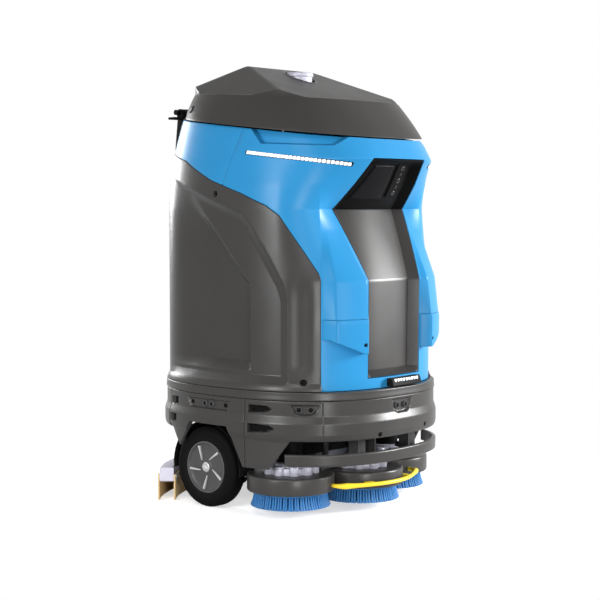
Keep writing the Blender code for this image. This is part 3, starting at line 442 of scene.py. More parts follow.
@dataclass(frozen=True)
class Finish:
    """Moulded, painted or metal surface.

    Attributes:
        name: Name of the material.
        slot: The record's material slot it stands for; not used.
        colour: Linear base colour.
        roughness: Mean roughness.
        metallic: Metalness.
        grain: Pebbles per metre.
        depth: Strength of the pebble bump.
        pale: Colour of rubbed edges, which doubles as a painted edge highlight.
        wear: Amount of rubbing and of painted edge highlight.
        dust: Amount of dust.
        mottle: How far the tint varies.
        coat: Clear coat weight.
        glow: Emission strength.
        shine: Specular level of the surface under any coat.
    """

    name: str
    slot: str
    colour: tuple[float, float, float]
    roughness: float
    metallic: float = 0.0
    grain: float = 1400.0
    depth: float = 0.10
    pale: tuple[float, float, float] = (0.45, 0.44, 0.43)
    wear: float = 0.10
    dust: float = 0.08
    mottle: float = 0.12
    coat: float = 0.0
    glow: float = 0.0
    shine: float = 0.4

    def material(self) -> bpy.types.Material:
        """The procedural material, made on first use."""
        made = bpy.data.materials.get("finish_" + self.name)
        if made:
            return made
        made = bpy.data.materials.new("finish_" + self.name)
        made.use_nodes = True
        shader = made.node_tree.nodes["Principled BSDF"]
        tree = Tree(made.node_tree)
        groups = {}
        effects = (("moulded_grain", "Scale", self.grain, ("Height", "Cloud"), fill_grain),
                   ("rubbed_edges", "Amount", self.wear, ("Mask",), fill_wear),
                   ("settled_dust", "Amount", self.dust, ("Mask",), fill_dust))
        for label, measure, value, outputs, fill in effects:
            groups[label] = tree.add("Group", node_tree=effect(label, measure, outputs, fill))
            groups[label].inputs[measure].default_value = value
        cloud = groups["moulded_grain"].outputs["Cloud"]
        deep, light = (tuple(min(1.0, c * scale) for c in self.colour)
                       for scale in (1.0 - self.mottle, 1.0 + self.mottle))
        tint = tree.blend(cloud, deep, light)
        # Convex edges lighten towards the pale colour: partly wear, partly a painted highlight.
        tint = tree.blend(groups["rubbed_edges"].outputs["Mask"], tint, self.pale)
        tint = tree.blend(groups["settled_dust"].outputs["Mask"], tint, (0.55, 0.52, 0.48))
        tree.link(tint, shader.inputs["Base Color"])
        rough = tree.add("MapRange", From_Min=0.2, From_Max=0.8, To_Min=self.roughness - 0.05,
                         To_Max=self.roughness + 0.06)
        tree.link(cloud, rough.inputs["Value"])
        tree.link(tree.sum("ADD", rough.outputs[0], groups["settled_dust"].outputs["Mask"]),
                  shader.inputs["Roughness"])
        bump = tree.add("Bump", Strength=self.depth, Distance=0.0004)
        tree.link(groups["moulded_grain"].outputs["Height"], bump.inputs["Height"])
        tree.link(bump.outputs[0], shader.inputs["Normal"])
        shader.inputs["Metallic"].default_value = self.metallic
        shader.inputs["Coat Weight"].default_value = self.coat
        shader.inputs["Coat Roughness"].default_value = 0.12
        shader.inputs["Specular IOR Level"].default_value = self.shine
        if self.glow:
            tree.link(tint, shader.inputs["Emission Color"])
            shader.inputs["Emission Strength"].default_value = self.glow
        return made


# The blue's pale edge colour is a painted highlight as much as wear.
BLUE = Finish("azure_shell", "blue_shell", (0.020, 0.225, 0.480), 0.34, depth=0.05, pale=(0.35, 0.62, 0.85),
              mottle=0.05, dust=0.02, shine=0.18)
GREY = Finish("graphite_moulding", "dark_shell", (0.029, 0.0275, 0.0265), 0.33, depth=0.12, mottle=0.10,
              shine=0.30, dust=0.03)
# Copy of the dark_shell moulding for the lid with painted light and shade: a paler colour lifts the band,
# less sheen darkens the roof.
LID_SHADED_GREY = Finish("graphite_lid", "dark_shell", (0.040, 0.038, 0.037), 0.36, depth=0.12, mottle=0.10, shine=0.07,
              dust=0.02)
BLACK = Finish("black_moulding", "black_plastic", (0.005, 0.005, 0.005), 0.45, depth=0.12, shine=0.03,
               dust=0.02, wear=0.03)
GLASS = Finish("smoked_screen", "black_glass", (0.006, 0.006, 0.007), 0.12, grain=300.0, depth=0.01, wear=0.0,
               dust=0.01, shine=0.05)
LAMP = Finish("lamp_white", "led_white", (0.90, 0.92, 0.95), 0.30, mottle=0.03, wear=0.0, dust=0.0, glow=0.55)
RUBBER = Finish("tyre_rubber", "tyre", (0.004, 0.004, 0.004), 0.62, grain=700.0, depth=0.22, wear=0.03,
                dust=0.02, shine=0.04)
RIM = Finish("rim_moulding", "rim_grey", (0.060, 0.060, 0.062), 0.38, metallic=0.15, wear=0.20, shine=0.25)
FIN = Finish("rim_fin", "rim_grey", (0.50, 0.50, 0.51), 0.30, metallic=0.3, wear=0.2)
STEEL = Finish("plated_steel", "steel", (0.62, 0.62, 0.63), 0.22, metallic=1.0, grain=500.0, depth=0.05)
FRAME = Finish("powder_coat", "painted_steel", (0.016, 0.016, 0.017), 0.50, grain=1800.0, depth=0.25,
               shine=0.2)
GEARBOX = Finish("cast_gearbox", "gearbox_grey", (0.46, 0.46, 0.54), 0.40, metallic=0.15, grain=600.0,
                 depth=0.25)
TANK = Finish("tank_moulding", "tank_grey", (0.32, 0.33, 0.35), 0.45, grain=500.0, depth=0.15)
BATTERY = Finish("battery_case", "battery", (0.04, 0.04, 0.045), 0.45)
BRISTLE = Finish("blue_bristle", "bristle_blue", (0.006, 0.130, 0.360), 0.42, grain=2500.0, mottle=0.35,
                 dust=0.02, shine=0.2)
YELLOW = Finish("signal_yellow", "yellow", (0.82, 0.60, 0.012), 0.36, pale=(0.95, 0.85, 0.4), mottle=0.05)
TAN = Finish("tan_rubber", "tan_rubber", (0.62, 0.45, 0.22), 0.50, grain=500.0, depth=0.15, mottle=0.15)
PALE = Finish("pale_moulding", "pale_grey", (0.58, 0.56, 0.66), 0.42)
RED = Finish("signal_red", "red", (0.65, 0.015, 0.015), 0.30, coat=0.3, mottle=0.04)


# ------------------------------------------------------------------ shapes
def verts_of(geometry: Iterable[object]) -> list[bmesh.types.BMVert]:
    """Vertices among what a bmesh operator returned."""
    return [g for g in geometry if isinstance(g, bmesh.types.BMVert)]


def soften(part: bmesh.types.BMesh, edges: Iterable[bmesh.types.BMEdge], width: float, segments: int) -> None:
    """Rounds edges of a form."""
    bmesh.ops.bevel(part, geom=list(edges), offset=width, affect="EDGES", segments=segments, profile=0.5,
                    material=-1)


def arc_points(centre: Pair, radius: float, first: float, last: float, count: int) -> list[Pair]:
    """Points on an arc.

    Args:
        centre: Its centre.
        radius: Its radius.
        first: Angle in degrees of the first point.
        last: Angle in degrees of the last point.
        count: Number of steps between them.

    Returns:
        The points, both ends included.
    """
    turns = [math.radians(first + (last - first) * i / count) for i in range(count + 1)]
    return [(centre[0] + radius * math.cos(t), centre[1] + radius * math.sin(t)) for t in turns]


class Shape:
    """A piece being modelled, in the row frame. Each method adds one closed form to it."""

    def __init__(self) -> None:
        """Starts with nothing in it."""
        self.bm = bmesh.new()

    def take(self, part: bmesh.types.BMesh, matrix: Matrix | None = None) -> None:
        """Adds a finished form.

        Args:
            part: The form, which is used up.
            matrix: Where to put it, if it isn't in place.
        """
        bmesh.ops.remove_doubles(part, verts=part.verts, dist=1e-6)
        bmesh.ops.recalc_face_normals(part, faces=part.faces)
        if matrix is not None:
            part.transform(matrix)
        holder = bpy.data.meshes.new("holder")
        part.to_mesh(holder)
        part.free()
        self.bm.from_mesh(holder)
        bpy.data.meshes.remove(holder)

    def block(self, low: Sequence[float], high: Sequence[float], soft: float = 0.002, segments: int = 2,
              matrix: Matrix | None = None) -> None:
        """Adds a box between two corners with its edges rounded."""
        part = bmesh.new()
        bmesh.ops.create_cube(part, size=1.0)
        low, high = Vector(low), Vector(high)
        bmesh.ops.scale(part, verts=part.verts, vec=high - low)
        bmesh.ops.translate(part, verts=part.verts, vec=(low + high) / 2.0)
        soften(part, part.edges, soft, segments)
        self.take(part, matrix)

    def lathe(self, profile: Sequence[Pair], centre: Sequence[float] = (0, 0, 0),
              axis: Sequence[float] = (0, 0, 1), sides: int = 48) -> None:
        """Adds a form of revolution.

        Args:
            profile: (radius, place along the axis), from one end to the other; it is closed into a ring
                where it doesn't start on the axis.
            centre: Where the axis starts.
            axis: Its direction.
            sides: Number of facets round.
        """
        part = bmesh.new()
        ring = [part.verts.new((radius, 0.0, along)) for radius, along in profile]
        edges = [part.edges.new(pair) for pair in zip(ring, ring[1:])]
        if profile[0][0] > 0.0:
            edges.append(part.edges.new((ring[-1], ring[0])))
        bmesh.ops.spin(part, geom=list(part.verts) + edges, cent=(0, 0, 0), axis=(0, 0, 1), angle=math.tau,
                       steps=sides, use_merge=True)
        way = Vector((0, 0, 1)).rotation_difference(Vector(axis)).to_matrix().to_4x4()
        self.take(part, Matrix.Translation(Vector(centre)) @ way)

    def slab(self, outline: Sequence[Pair], low: float, high: float, soft: float = 0.0, along: str = "Z",
             hollow: Pair | None = None) -> None:
        """Adds a flat outline drawn out to a thickness.

        Args:
            outline: Its corners in the two directions other than along.
            low: Where it starts.
            high: Where it ends.
            soft: Rounding of the rims.
            along: "X" or "Z".
            hollow: Wall and depth of a hollow cut from the low side, if any.
        """
        part = bmesh.new()
        corners = [part.verts.new((low, *p) if along == "X" else (*p, low)) for p in outline]
        face = part.faces.new(corners)
        grown = bmesh.ops.extrude_face_region(part, geom=[face])["geom"]
        way = Vector((high - low, 0, 0) if along == "X" else (0, 0, high - low))
        bmesh.ops.translate(part, verts=verts_of(grown), vec=way)
        bmesh.ops.recalc_face_normals(part, faces=part.faces)
        if soft:
            rims = [e for e in part.edges if len({f for f in e.link_faces if len(f.verts) > 4}) == 1]
            soften(part, rims, soft, 3)
        if hollow:
            part.faces.ensure_lookup_table()
            bottom = min((f for f in part.faces if len(f.verts) > 8), key=lambda f: f.calc_center_median().z)
            bmesh.ops.inset_region(part, faces=[bottom], thickness=hollow[0], use_even_offset=True)
            moved = bmesh.ops.extrude_face_region(part, geom=[bottom])["geom"]
            part.faces.remove(bottom)
            bmesh.ops.translate(part, verts=verts_of(moved), vec=(0, 0, hollow[1]))
        self.take(part)

    def rope(self, route: Sequence[Sequence[float]], radii: Sequence[float], sides: int = 12) -> None:
        """Adds a smooth bar along a route, with a radius at each of its points."""
        curve = bpy.data.curves.new("rope", "CURVE")
        curve.dimensions, curve.bevel_depth, curve.use_fill_caps = "3D", 1.0, True
        curve.bevel_resolution, curve.resolution_u = sides // 4, 8
        line = curve.splines.new("NURBS")
        line.points.add(len(route) - 1)
        for point, place, radius in zip(line.points, route, radii):
            point.co, point.radius = (*place, 1.0), radius
        line.order_u, line.use_endpoint_u = 3, True
        holder = bpy.data.objects.new("rope", curve)
        mesh = bpy.data.meshes.new_from_object(holder)
        part = bmesh.new()
        part.from_mesh(mesh)
        for thing, store in ((holder, bpy.data.objects), (curve, bpy.data.curves), (mesh, bpy.data.meshes)):
            store.remove(thing)
        self.take(part)

    def screw(self, place: Vector, out: Vector, radius: float = 0.0042) -> None:
        """Adds a socket screw head that faces out."""
        profile = [(0.0, -0.003), (radius * 0.9, -0.003), (radius, -0.0005), (radius * 0.86, 0.0007),
                   (radius * 0.50, 0.0008), (radius * 0.44, -0.0012), (0.0, -0.0012)]
        self.lathe(profile, place, out, 18)

    def piece(self, name: str, body: str, finish: Finish, replaces: Sequence[str] = (), crease: float = 35.0
              ) -> bpy.types.Object:
        """Makes the object.

        Args:
            name: Name of the piece.
            body: CAD body it rides on.
            finish: Its finish.
            replaces: CAD nodes it stands for.
            crease: Angle in degrees above which an edge shades sharp.

        Returns:
            The object, at the origin, with its place in its mesh.
        """
        mesh = bpy.data.meshes.new(name)
        self.bm.to_mesh(mesh)
        self.bm.free()
        mesh.shade_smooth()
        mesh.set_sharp_from_angle(angle=math.radians(crease))
        mesh.materials.append(finish.material())
        if any(polygon.material_index for polygon in mesh.polygons):
            mesh.materials.append(BLACK.material())
        made = in_scene(name, mesh)
        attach(made, body)
        if replaces:
            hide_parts(*replaces)
        LOG.info("%s rides on %s, %d faces", name, body, len(mesh.polygons))
        return made


@dataclass
class Panel:
    """Moulded panel on the skin, between two edges.

    Attributes:
        name: Name of the piece.
        span: First and last angle.
        low: Lower edge.
        high: Upper edge.
        surface: Point of the skin at (angle, height, distance outwards).
        wall: Thickness.
        rows: Heights of its rows, or edges that a row follows.
        reliefs: Pockets and holes in it.
        shape: Further displacement outwards at (angle, height).
        pitch: Largest gap between columns, in degrees.
        knots: Angles that need a column.
        roll: Radius of its rolled rim.
        closed: Whether it runs all the way round.
        back: Inner surface, where it isn't the outer one moved in by the wall.
        seam: Gap left at each of its edges.
    """

    name: str
    span: Pair
    low: Edge
    high: Edge
    surface: Callable[[float, float, float], Vector]
    wall: float = 0.004
    rows: Sequence[float | Edge] = ()
    reliefs: Sequence[Pocket | Hole] = ()
    shape: Callable[[float, float], float] = lambda angle, z: 0.0
    pitch: float = 0.8
    knots: Sequence[float] = ()
    roll: float = 0.0015
    closed: bool = False
    back: Callable[[float, float, float], Vector] | None = None
    seam: float = field(default=0.0005, init=False)

    def columns(self) -> list[float]:
        """Angles of its columns, gathered at its ends, knots and reliefs."""
        first, last = self.span
        if not self.closed:
            first, last = first + self.seam / ARC, last - self.seam / ARC
        marks = [a for r in self.reliefs for a in r.marks()[0]]
        ends = [] if self.closed else [e + s * f * self.roll / ARC for e, s in ((first, 1), (last, -1))
                                       for f in (0.15, 0.45, 1.0)]
        return spread(first, last, self.pitch, {*self.knots, *marks, *ends})

    def sill(self, depth: float) -> float:
        """How far the rolled rim has turned in at a distance from the edge."""
        if depth >= self.roll:
            return 0.0
        return self.roll - math.sqrt(max(0.0, self.roll ** 2 - (self.roll - depth) ** 2))

    def heights(self, angle: float, rows: Sequence[Edge]) -> list[float]:
        """Heights of the rows in the column at an angle, rising from edge to edge."""
        low, high = self.low(angle) + self.seam, self.high(angle) - self.seam
        rim = [0.0, 0.15 * self.roll, 0.45 * self.roll, self.roll]
        half_way = (low + high) / 2
        inner_low, inner_high = min(low + self.roll, half_way), max(high - self.roll, half_way)
        between = sorted(min(inner_high, max(inner_low, row(angle))) for row in rows)
        top = [max(high - r, inner_high) for r in reversed(rim)]
        return [min(low + r, inner_low) for r in rim] + between + top

    def build(self) -> Shape:
        """Makes the panel.

        Returns:
            The shape, ready to become a piece.
        """
        marks = [z for r in self.reliefs for z in r.marks()[1]]
        plain = [r for r in self.rows if not callable(r)]
        rows = [level(z) for z in sorted({*(round(z, 5) for z in plain + marks)})]
        rows += [r for r in self.rows if callable(r)]
        angles = self.columns()
        heights = {angle: self.heights(angle, rows) for angle in angles}
        tall = len(heights[angles[0]])
        part = bmesh.new()
        bmesh.ops.create_grid(part, x_segments=len(angles) - 1, y_segments=tall - 1, size=1.0)
        inner = part.verts.layers.float_vector.new("inner")
        deep = part.verts.layers.int.new("deep")
        for vert in part.verts:
            column = round((vert.co.x + 1.0) / 2.0 * (len(angles) - 1))
            angle = angles[column]
            ladder = heights[angle]
            z = ladder[round((vert.co.y + 1.0) / 2.0 * (tall - 1))]
            rim = min(z - ladder[0], ladder[-1] - z)
            if not self.closed:
                rim = min(rim, (angle - angles[0]) * ARC, (angles[-1] - angle) * ARC)
            out = self.shape(angle, z) + sum(r.out(angle, z) for r in self.reliefs)
            vert.co = self.surface(angle, z, out - self.sill(max(0.0, rim)))
            vert[inner] = self.back(angle, z, out) if self.back else self.surface(angle, z, out - self.wall)
            vert[deep] = any(r.dark and r.out(angle, z) < -0.5 * r.depth for r in self.reliefs)
        bmesh.ops.remove_doubles(part, verts=part.verts, dist=8e-6)
        bmesh.ops.dissolve_degenerate(part, edges=part.edges, dist=8e-6)
        if part.faces and sum((f.normal.dot(f.calc_center_median().xy.to_3d()) for f in part.faces)) < 0.0:
            bmesh.ops.reverse_faces(part, faces=part.faces)
        for face in part.faces:
            face.material_index = int(all(v[deep] for v in face.verts))
        grown = bmesh.ops.extrude_face_region(part, geom=list(part.faces))["geom"]
        for vert in verts_of(grown):
            vert.co = vert[inner]
        made = Shape()
        made.take(part)
        return made


def even_rows(low: Edge, high: Edge, count: int) -> list[Edge]:
    """Rows that share the height between two edges evenly."""
    return [lambda a, t=i / count: low(a) + t * (high(a) - low(a)) for i in range(1, count)]


def face_of(surface: Callable[[float, float, float], Vector], angle: float, z: float, out: float = 0.0
            ) -> tuple[Vector, Vector]:
    """Point of a surface and the direction it faces."""
    here = surface(angle, z, out)
    across = surface(angle + 0.4, z, out) - surface(angle - 0.4, z, out)
    up = surface(angle, z + 0.002, out) - surface(angle, z - 0.002, out)
    facing = across.cross(up).normalized()
    return here, facing if facing.dot(here.xy.to_3d()) > 0 else -facing


def wrapped_body(angle: float, z: float, out: float) -> Vector:
    """Point of the body skin for angles that run on past 180 degrees."""
    return SKIN.body(angle if angle <= 180.0 else angle - 360.0, z, out)


def in_scene(name: str, data: bpy.types.ID) -> bpy.types.Object:
    """A new object in the scene's collection."""
    made = bpy.data.objects.new(name, data)
    bpy.context.scene.collection.objects.link(made)
    return made


def aim(thing: bpy.types.Object, place: Sequence[float], target: Sequence[float]) -> None:
    """Puts a camera or lamp at a place and turns it to a target."""
    thing.location = place
    thing.rotation_euler = (Vector(target) - Vector(place)).to_track_quat("-Z", "Y").to_euler()


def upright(place: Vector, out: Vector) -> Matrix:
    """Frame at a place that looks along out with its Z upright."""
    across = Vector((0, 0, 1)).cross(out).normalized()
    return Matrix.Translation(place) @ Matrix((across, out, across.cross(out))).transposed().to_4x4()


def middle(node: str) -> Vector:
    """Centre of a CAD node's box."""
    low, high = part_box(node)
    return (low + high) / 2.0


# ------------------------------------------------------------------ body panels
@dataclass
class SideCovers:
    """The large grey covers with their stepped fields, and the blue shells above them."""

    screws: tuple[Pair, ...] = ((-92.6, 0.777), (-47.6, 0.330))
    flare_top: float = 0.327
    flare: float = 0.007
    valley: float = 0.005
    valley_angle: float = 49.0
    shell_edge: float = 78.2
    field_depth: float = 0.014
    bay_depth: float = 0.028
    field: tuple[Pair, ...] = ((-139.0, 0.835), (-116.0, 0.792), (-91.7, 0.748), (-77.8, 0.723),
                               (-73.2, 0.700), (-64.6, 0.629), (-57.0, 0.557), (-55.7, 0.524), (-55.7, 0.334),
                               (-139.0, 0.334))
    bay: tuple[Pair, ...] = ((-150.0, 0.800), (-114.0, 0.775), (-93.7, 0.665), (-74.9, 0.559), (-74.5, 0.540),
                             (-74.5, 0.362), (-150.0, 0.362))

    def bulge(self, angle: float, z: float) -> float:
        """Flared foot of the cover, and the shallow valley ahead of its field."""
        across = smooth_step(6.0, 0.0, abs(-abs(angle) + self.valley_angle))
        up = smooth_step(0.335, 0.375, z) * (1.0 - smooth_step(0.52, 0.62, z))
        return self.flare * ramp(self.flare_top, SKIN.bottom + 0.003, z) - self.valley * across * up

    def build(self) -> None:
        """Builds covers, shells and their screws for both sides."""
        for side in Side:
            sign = side.value
            reliefs: list[Pocket | Hole] = [
                Pocket(self.field, self.field_depth, 0.018, fade=(-136.0, -112.0)),
                Pocket(self.bay, self.bay_depth, 0.022, fade=(-132.0, -96.0), sink=(0.64, 0.79))]
            reliefs += [Hole(-sign * a, z, 0.0066, 0.006) for a, z in self.screws]
            span = span_of(side, SKIN.cover_edge, SKIN.rear_edge)
            high = COVER_SEAM
            rows = even_rows(level(self.flare_top), high, 110)
            cover = Panel(f"side_cover_{side.word}", span, level(SKIN.bottom), high, SKIN.body,
                          rows=[self.flare_top - 0.001, *rows], reliefs=reliefs, shape=self.bulge, pitch=0.75,
                          knots=SEAM_KNOTS, roll=0.002)
            cover.build().piece(cover.name, "chassis", GREY, [cover.name], 40.0)
            span = span_of(side, self.shell_edge, SKIN.rear_edge)
            low = self.shell_low
            shell = Panel(f"side_shell_{side.word}", span, low, SKIN.top, SKIN.body,
                          rows=even_rows(low, SKIN.top, 40), pitch=0.8, knots=SEAM_KNOTS, roll=0.0012)
            shell.build().piece(shell.name, "chassis", BLUE, [shell.name], 40.0)
            heads = Shape()
            for a, z in self.screws:
                place, out = face_of(SKIN.body, -sign * a, z)
                heads.screw(place - 0.0048 * out, out, 0.0050)
            heads.piece(f"cover_screws_{side.word}", "chassis", BLACK)

    def shell_low(self, angle: float) -> float:
        """Lower edge of the rear shell: the cover's seam, then the seam against the front shell."""
        return max(COVER_SEAM(angle), SHELL_SEAM(angle) if abs(angle) < 87.9 else 0.0)


@dataclass
class FrontBody:
    """Blue front shell, the grey column set into it, the black sensor bezel and the ears beside it."""

    grip_edge: tuple[Pair, ...] = ((-73.6, 0.0), (-67.5, 0.034), (-34.9, 0.024), (-27.7, 0.0))
    grip_depth: float = 0.022
    grip_rows: tuple[float, ...] = (-0.004, -0.0012, 0.0, 0.0012, 0.0028, 0.004, 0.010, 0.018, 0.026)
    grip_knots: tuple[float, ...] = (19.0, 19.6, 19.85, 20.0, 20.2, 20.5, 21.2, 22.0, 22.8, 36.6, 38.0, 39.0,
                                     40.0)
    depth: float = 0.026
    wall_turn: float = 2.2
    window: Pair = (-15.0, 2.5)
    window_rows: Pair = (0.765, 0.845)
    cell: Pair = (5.0, 13.0)
    cell_rows: Pair = (0.770, 0.850)
    ear_screw: Pair = (23.6, 0.418)

    def grip_line(self, angle: float) -> float:
        """Lower edge of the finger recess under the lid."""
        return SKIN.top(angle) - follow(self.grip_edge, -abs(angle))

    def shell_out(self, angle: float, z: float) -> float:
        """Displacement of the front shell: column pocket, finger recess and ears."""
        out = 0.0
        if abs(angle) < SKIN.column_edge + 0.01:
            inside = ramp(SKIN.column_low - 0.001, SKIN.column_low + 0.001, z)
            inside *= 1.0 - ramp(SKIN.brow - 0.001, SKIN.brow + 0.001, z)
            out -= (self.depth + 0.006) * inside * ramp(0.0, 0.15, SKIN.column_edge - abs(angle))
        grip = follow(self.grip_edge, -abs(angle))
        if grip > 0.0:
            out -= self.grip_depth * ramp(0.0, 0.004, z - self.grip_line(angle))
        if z > SKIN.ear_seam + 0.0001:
            out += SKIN.ear(angle, z)
        return out

    def build_shell(self) -> None:
        """Builds the blue front shell."""
        def low(angle: float) -> float:
            """Lower edge: the tray's rim, then the cover's seam."""
            return SKIN.bottom if abs(angle) <= SKIN.cover_edge + 0.1 else COVER_SEAM(angle)

        def high(angle: float) -> float:
            """Upper edge: the lid, or the seam against the side shell."""
            return min(SKIN.top(angle), SHELL_SEAM(angle)) if abs(angle) > 78.0 else SKIN.top(angle)

        rows: list[float | Edge] = spread(0.313, 0.872, 0.0048)
        rows += [SKIN.column_low - 0.001, SKIN.column_low + 0.001, SKIN.waist - 0.003, SKIN.waist,
                 SKIN.waist + 0.003, SKIN.ear_seam, SKIN.ear_seam + 0.0006, SKIN.brow - 0.003,
                 SKIN.brow - 0.001, SKIN.brow + 0.001, SKIN.brow + 0.004]
        rows += [lambda a, d=d: self.grip_line(a) + d for d in self.grip_rows]
        knots = SEAM_KNOTS + [s * a for s in (-1, 1) for a in self.grip_knots]
        shell = Panel("front_shell", (-87.8, 87.8), low, high, SKIN.body, rows=rows, shape=self.shell_out,
                      pitch=0.85, knots=knots, roll=0.0012)
        shell.build().piece("front_shell", "chassis", BLUE, ["front_shell"], 40.0)

    def face_out(self, angle: float, z: float) -> float:
        """Displacement of the column and bezel: a sunk face between sloping walls."""
        sunk = self.depth * ramp(0.0, self.wall_turn, SKIN.column_edge - 0.3 - abs(angle))
        sunk *= ramp(SKIN.column_low, SKIN.column_low + 0.016, z)
        return -sunk * (1.0 - ramp(SKIN.brow - 0.014, SKIN.brow - 0.002, z))

    def column_face(self, angle: float, z: float, out: float) -> Vector:
        """Point of the column's face."""
        return SKIN.body(angle, z, self.face_out(angle, z) + out)

    def build_column(self) -> None:
        """Builds the column, the bezel over it, its window and its camera bar."""
        edge = SKIN.column_edge - 0.3
        knots = [s * (edge - t) for s in (-1, 1) for t in (0.25, self.wall_turn - 0.25, self.wall_turn,
                                                           self.wall_turn + 0.25)]

        def back(angle: float, z: float, out: float) -> Vector:
            """Inner surface, straight behind the face."""
            return self.column_face(angle, z, 0.0) + Vector((0.0, 0.0035, 0.0))

        low = SKIN.column_low + 0.001
        rows = [low + 0.006, low + 0.013, low + 0.015, low + 0.017, 0.555, 0.563, 0.57, 0.577, 0.585,
                *spread(0.36, SKIN.waist - 0.006, 0.012), SKIN.waist - 0.003]
        for name, bottom, top, levels, finish in (
                ("front_column", low, SKIN.waist, rows, GREY),
                ("sensor_bezel", SKIN.waist, SKIN.brow - 0.001,
                 [*spread(SKIN.waist + 0.004, SKIN.brow - 0.018, 0.010), SKIN.brow - 0.015,
                  SKIN.brow - 0.013, SKIN.brow - 0.008, SKIN.brow - 0.003], BLACK)):
            panel = Panel(name, (-edge, edge), level(bottom), level(top), self.column_face, rows=levels,
                          pitch=1.0, knots=knots, roll=0.001, back=back)
            panel.seam = 0.0002
            panel.build().piece(name, "chassis", finish, [name], 50.0)
        self.build_window()

    def build_window(self) -> None:
        """Builds the glossy sensor window in its frame, and the bar of lenses beside it."""
        def leaning(z: float) -> float:
            """Turn of the window's slanted edge at a height."""
            return 3.2 * (z - self.window_rows[0]) / (self.window_rows[1] - self.window_rows[0])

        def pane(angle: float, z: float, out: float) -> Vector:
            """Point of the window, with one edge slanted."""
            return self.column_face(angle + leaning(z) * (1.0 - (angle + 15.0) / 17.5), z, out)

        for name, grow, out, finish in (("window_frame", 0.9, 0.0012, BLACK),
                                        ("sensor_window", 0.0, 0.0022, GLASS)):
            low, high = self.window_rows[0] - 0.004 * grow, self.window_rows[1] + 0.003 * grow
            plate = Panel(name, (self.window[0] - grow, self.window[1] + grow), level(low), level(high), pane,
                          rows=spread(low + 0.003, high - 0.003, 0.01), pitch=1.0, roll=0.0010,
                          shape=lambda a, z, o=out: o, wall=0.0018)
            plate.build().piece(name, "chassis", finish, [name] if name == "sensor_window" else [], 50.0)
        low, high = self.cell_rows
        bar = Panel("depth_camera_bar", self.cell, level(low), level(high), self.column_face,
                    rows=spread(low + 0.003, high - 0.003, 0.01), pitch=1.0, roll=0.002,
                    shape=lambda a, z: 0.0045, wall=0.004)
        bar.build().piece("depth_camera_bar", "chassis", BLACK, ["depth_camera_bar"], 50.0)
        lenses, rings = Shape(), Shape()
        for i, radius in enumerate((0.0050, 0.0032, 0.0056, 0.0032, 0.0050)):
            z = low + 0.010 + (high - low - 0.020) * i / 4
            place, out = face_of(self.column_face, sum(self.cell) / 2 + 0.6, z, 0.0045)
            lenses.lathe([(0.0, 0.0016), (radius * 0.5, 0.0013), (radius * 0.8, 0.0004),
                          (radius * 0.8, -0.001), (0.0, -0.001)], place, out, 24)
            rings.lathe([(radius * 0.82, -0.001), (radius * 1.2, -0.001), (radius * 1.2, 0.0004),
                         (radius * 1.1, 0.0009), (radius * 0.9, 0.0009), (radius * 0.82, 0.0004)],
                        place, out, 24)
        lenses.piece("camera_lenses", "chassis", GLASS)
        rings.piece("camera_rings", "chassis", RIM)

    def build_ears(self) -> None:
        """Builds the cap at the foot of each ear, with its screw."""
        low_at = mirrored(((-37.5, 0.430), (-24.0, 0.396)))
        for side in Side:
            sign = side.value
            span = span_of(side, SKIN.column_edge + 0.15, SKIN.cover_edge - 0.1)
            hole = Hole(sign * self.ear_screw[0], self.ear_screw[1], 0.004, 0.003)
            knots = [sign * a for a in (20.5, 21.2, 22.0, 22.8, 36.6, 38.0, 39.0, 39.6)]
            cap = Panel(f"ear_cap_{side.word}", span, low_at, level(SKIN.ear_seam), SKIN.body,
                        rows=spread(0.400, 0.476, 0.0045), shape=lambda a, z: SKIN.ear(a, z) + 0.0015,
                        reliefs=[hole], pitch=0.8, knots=knots, roll=0.003,
                        back=lambda a, z, out: SKIN.body(a, z, 0.0005))
            cap.build().piece(cap.name, "chassis", BLUE, [cap.name], 40.0)
            screw = Shape()
            place, out = face_of(SKIN.body, hole.angle, hole.z, SKIN.ear(hole.angle, hole.z) + 0.0015)
            screw.screw(place - 0.0018 * out, out, 0.0032)
            screw.piece(f"ear_screw_{side.word}", "chassis", BLACK)

    def build(self) -> None:
        """Builds everything at the front of the body."""
        self.build_shell()
        self.build_column()
        self.build_ears()


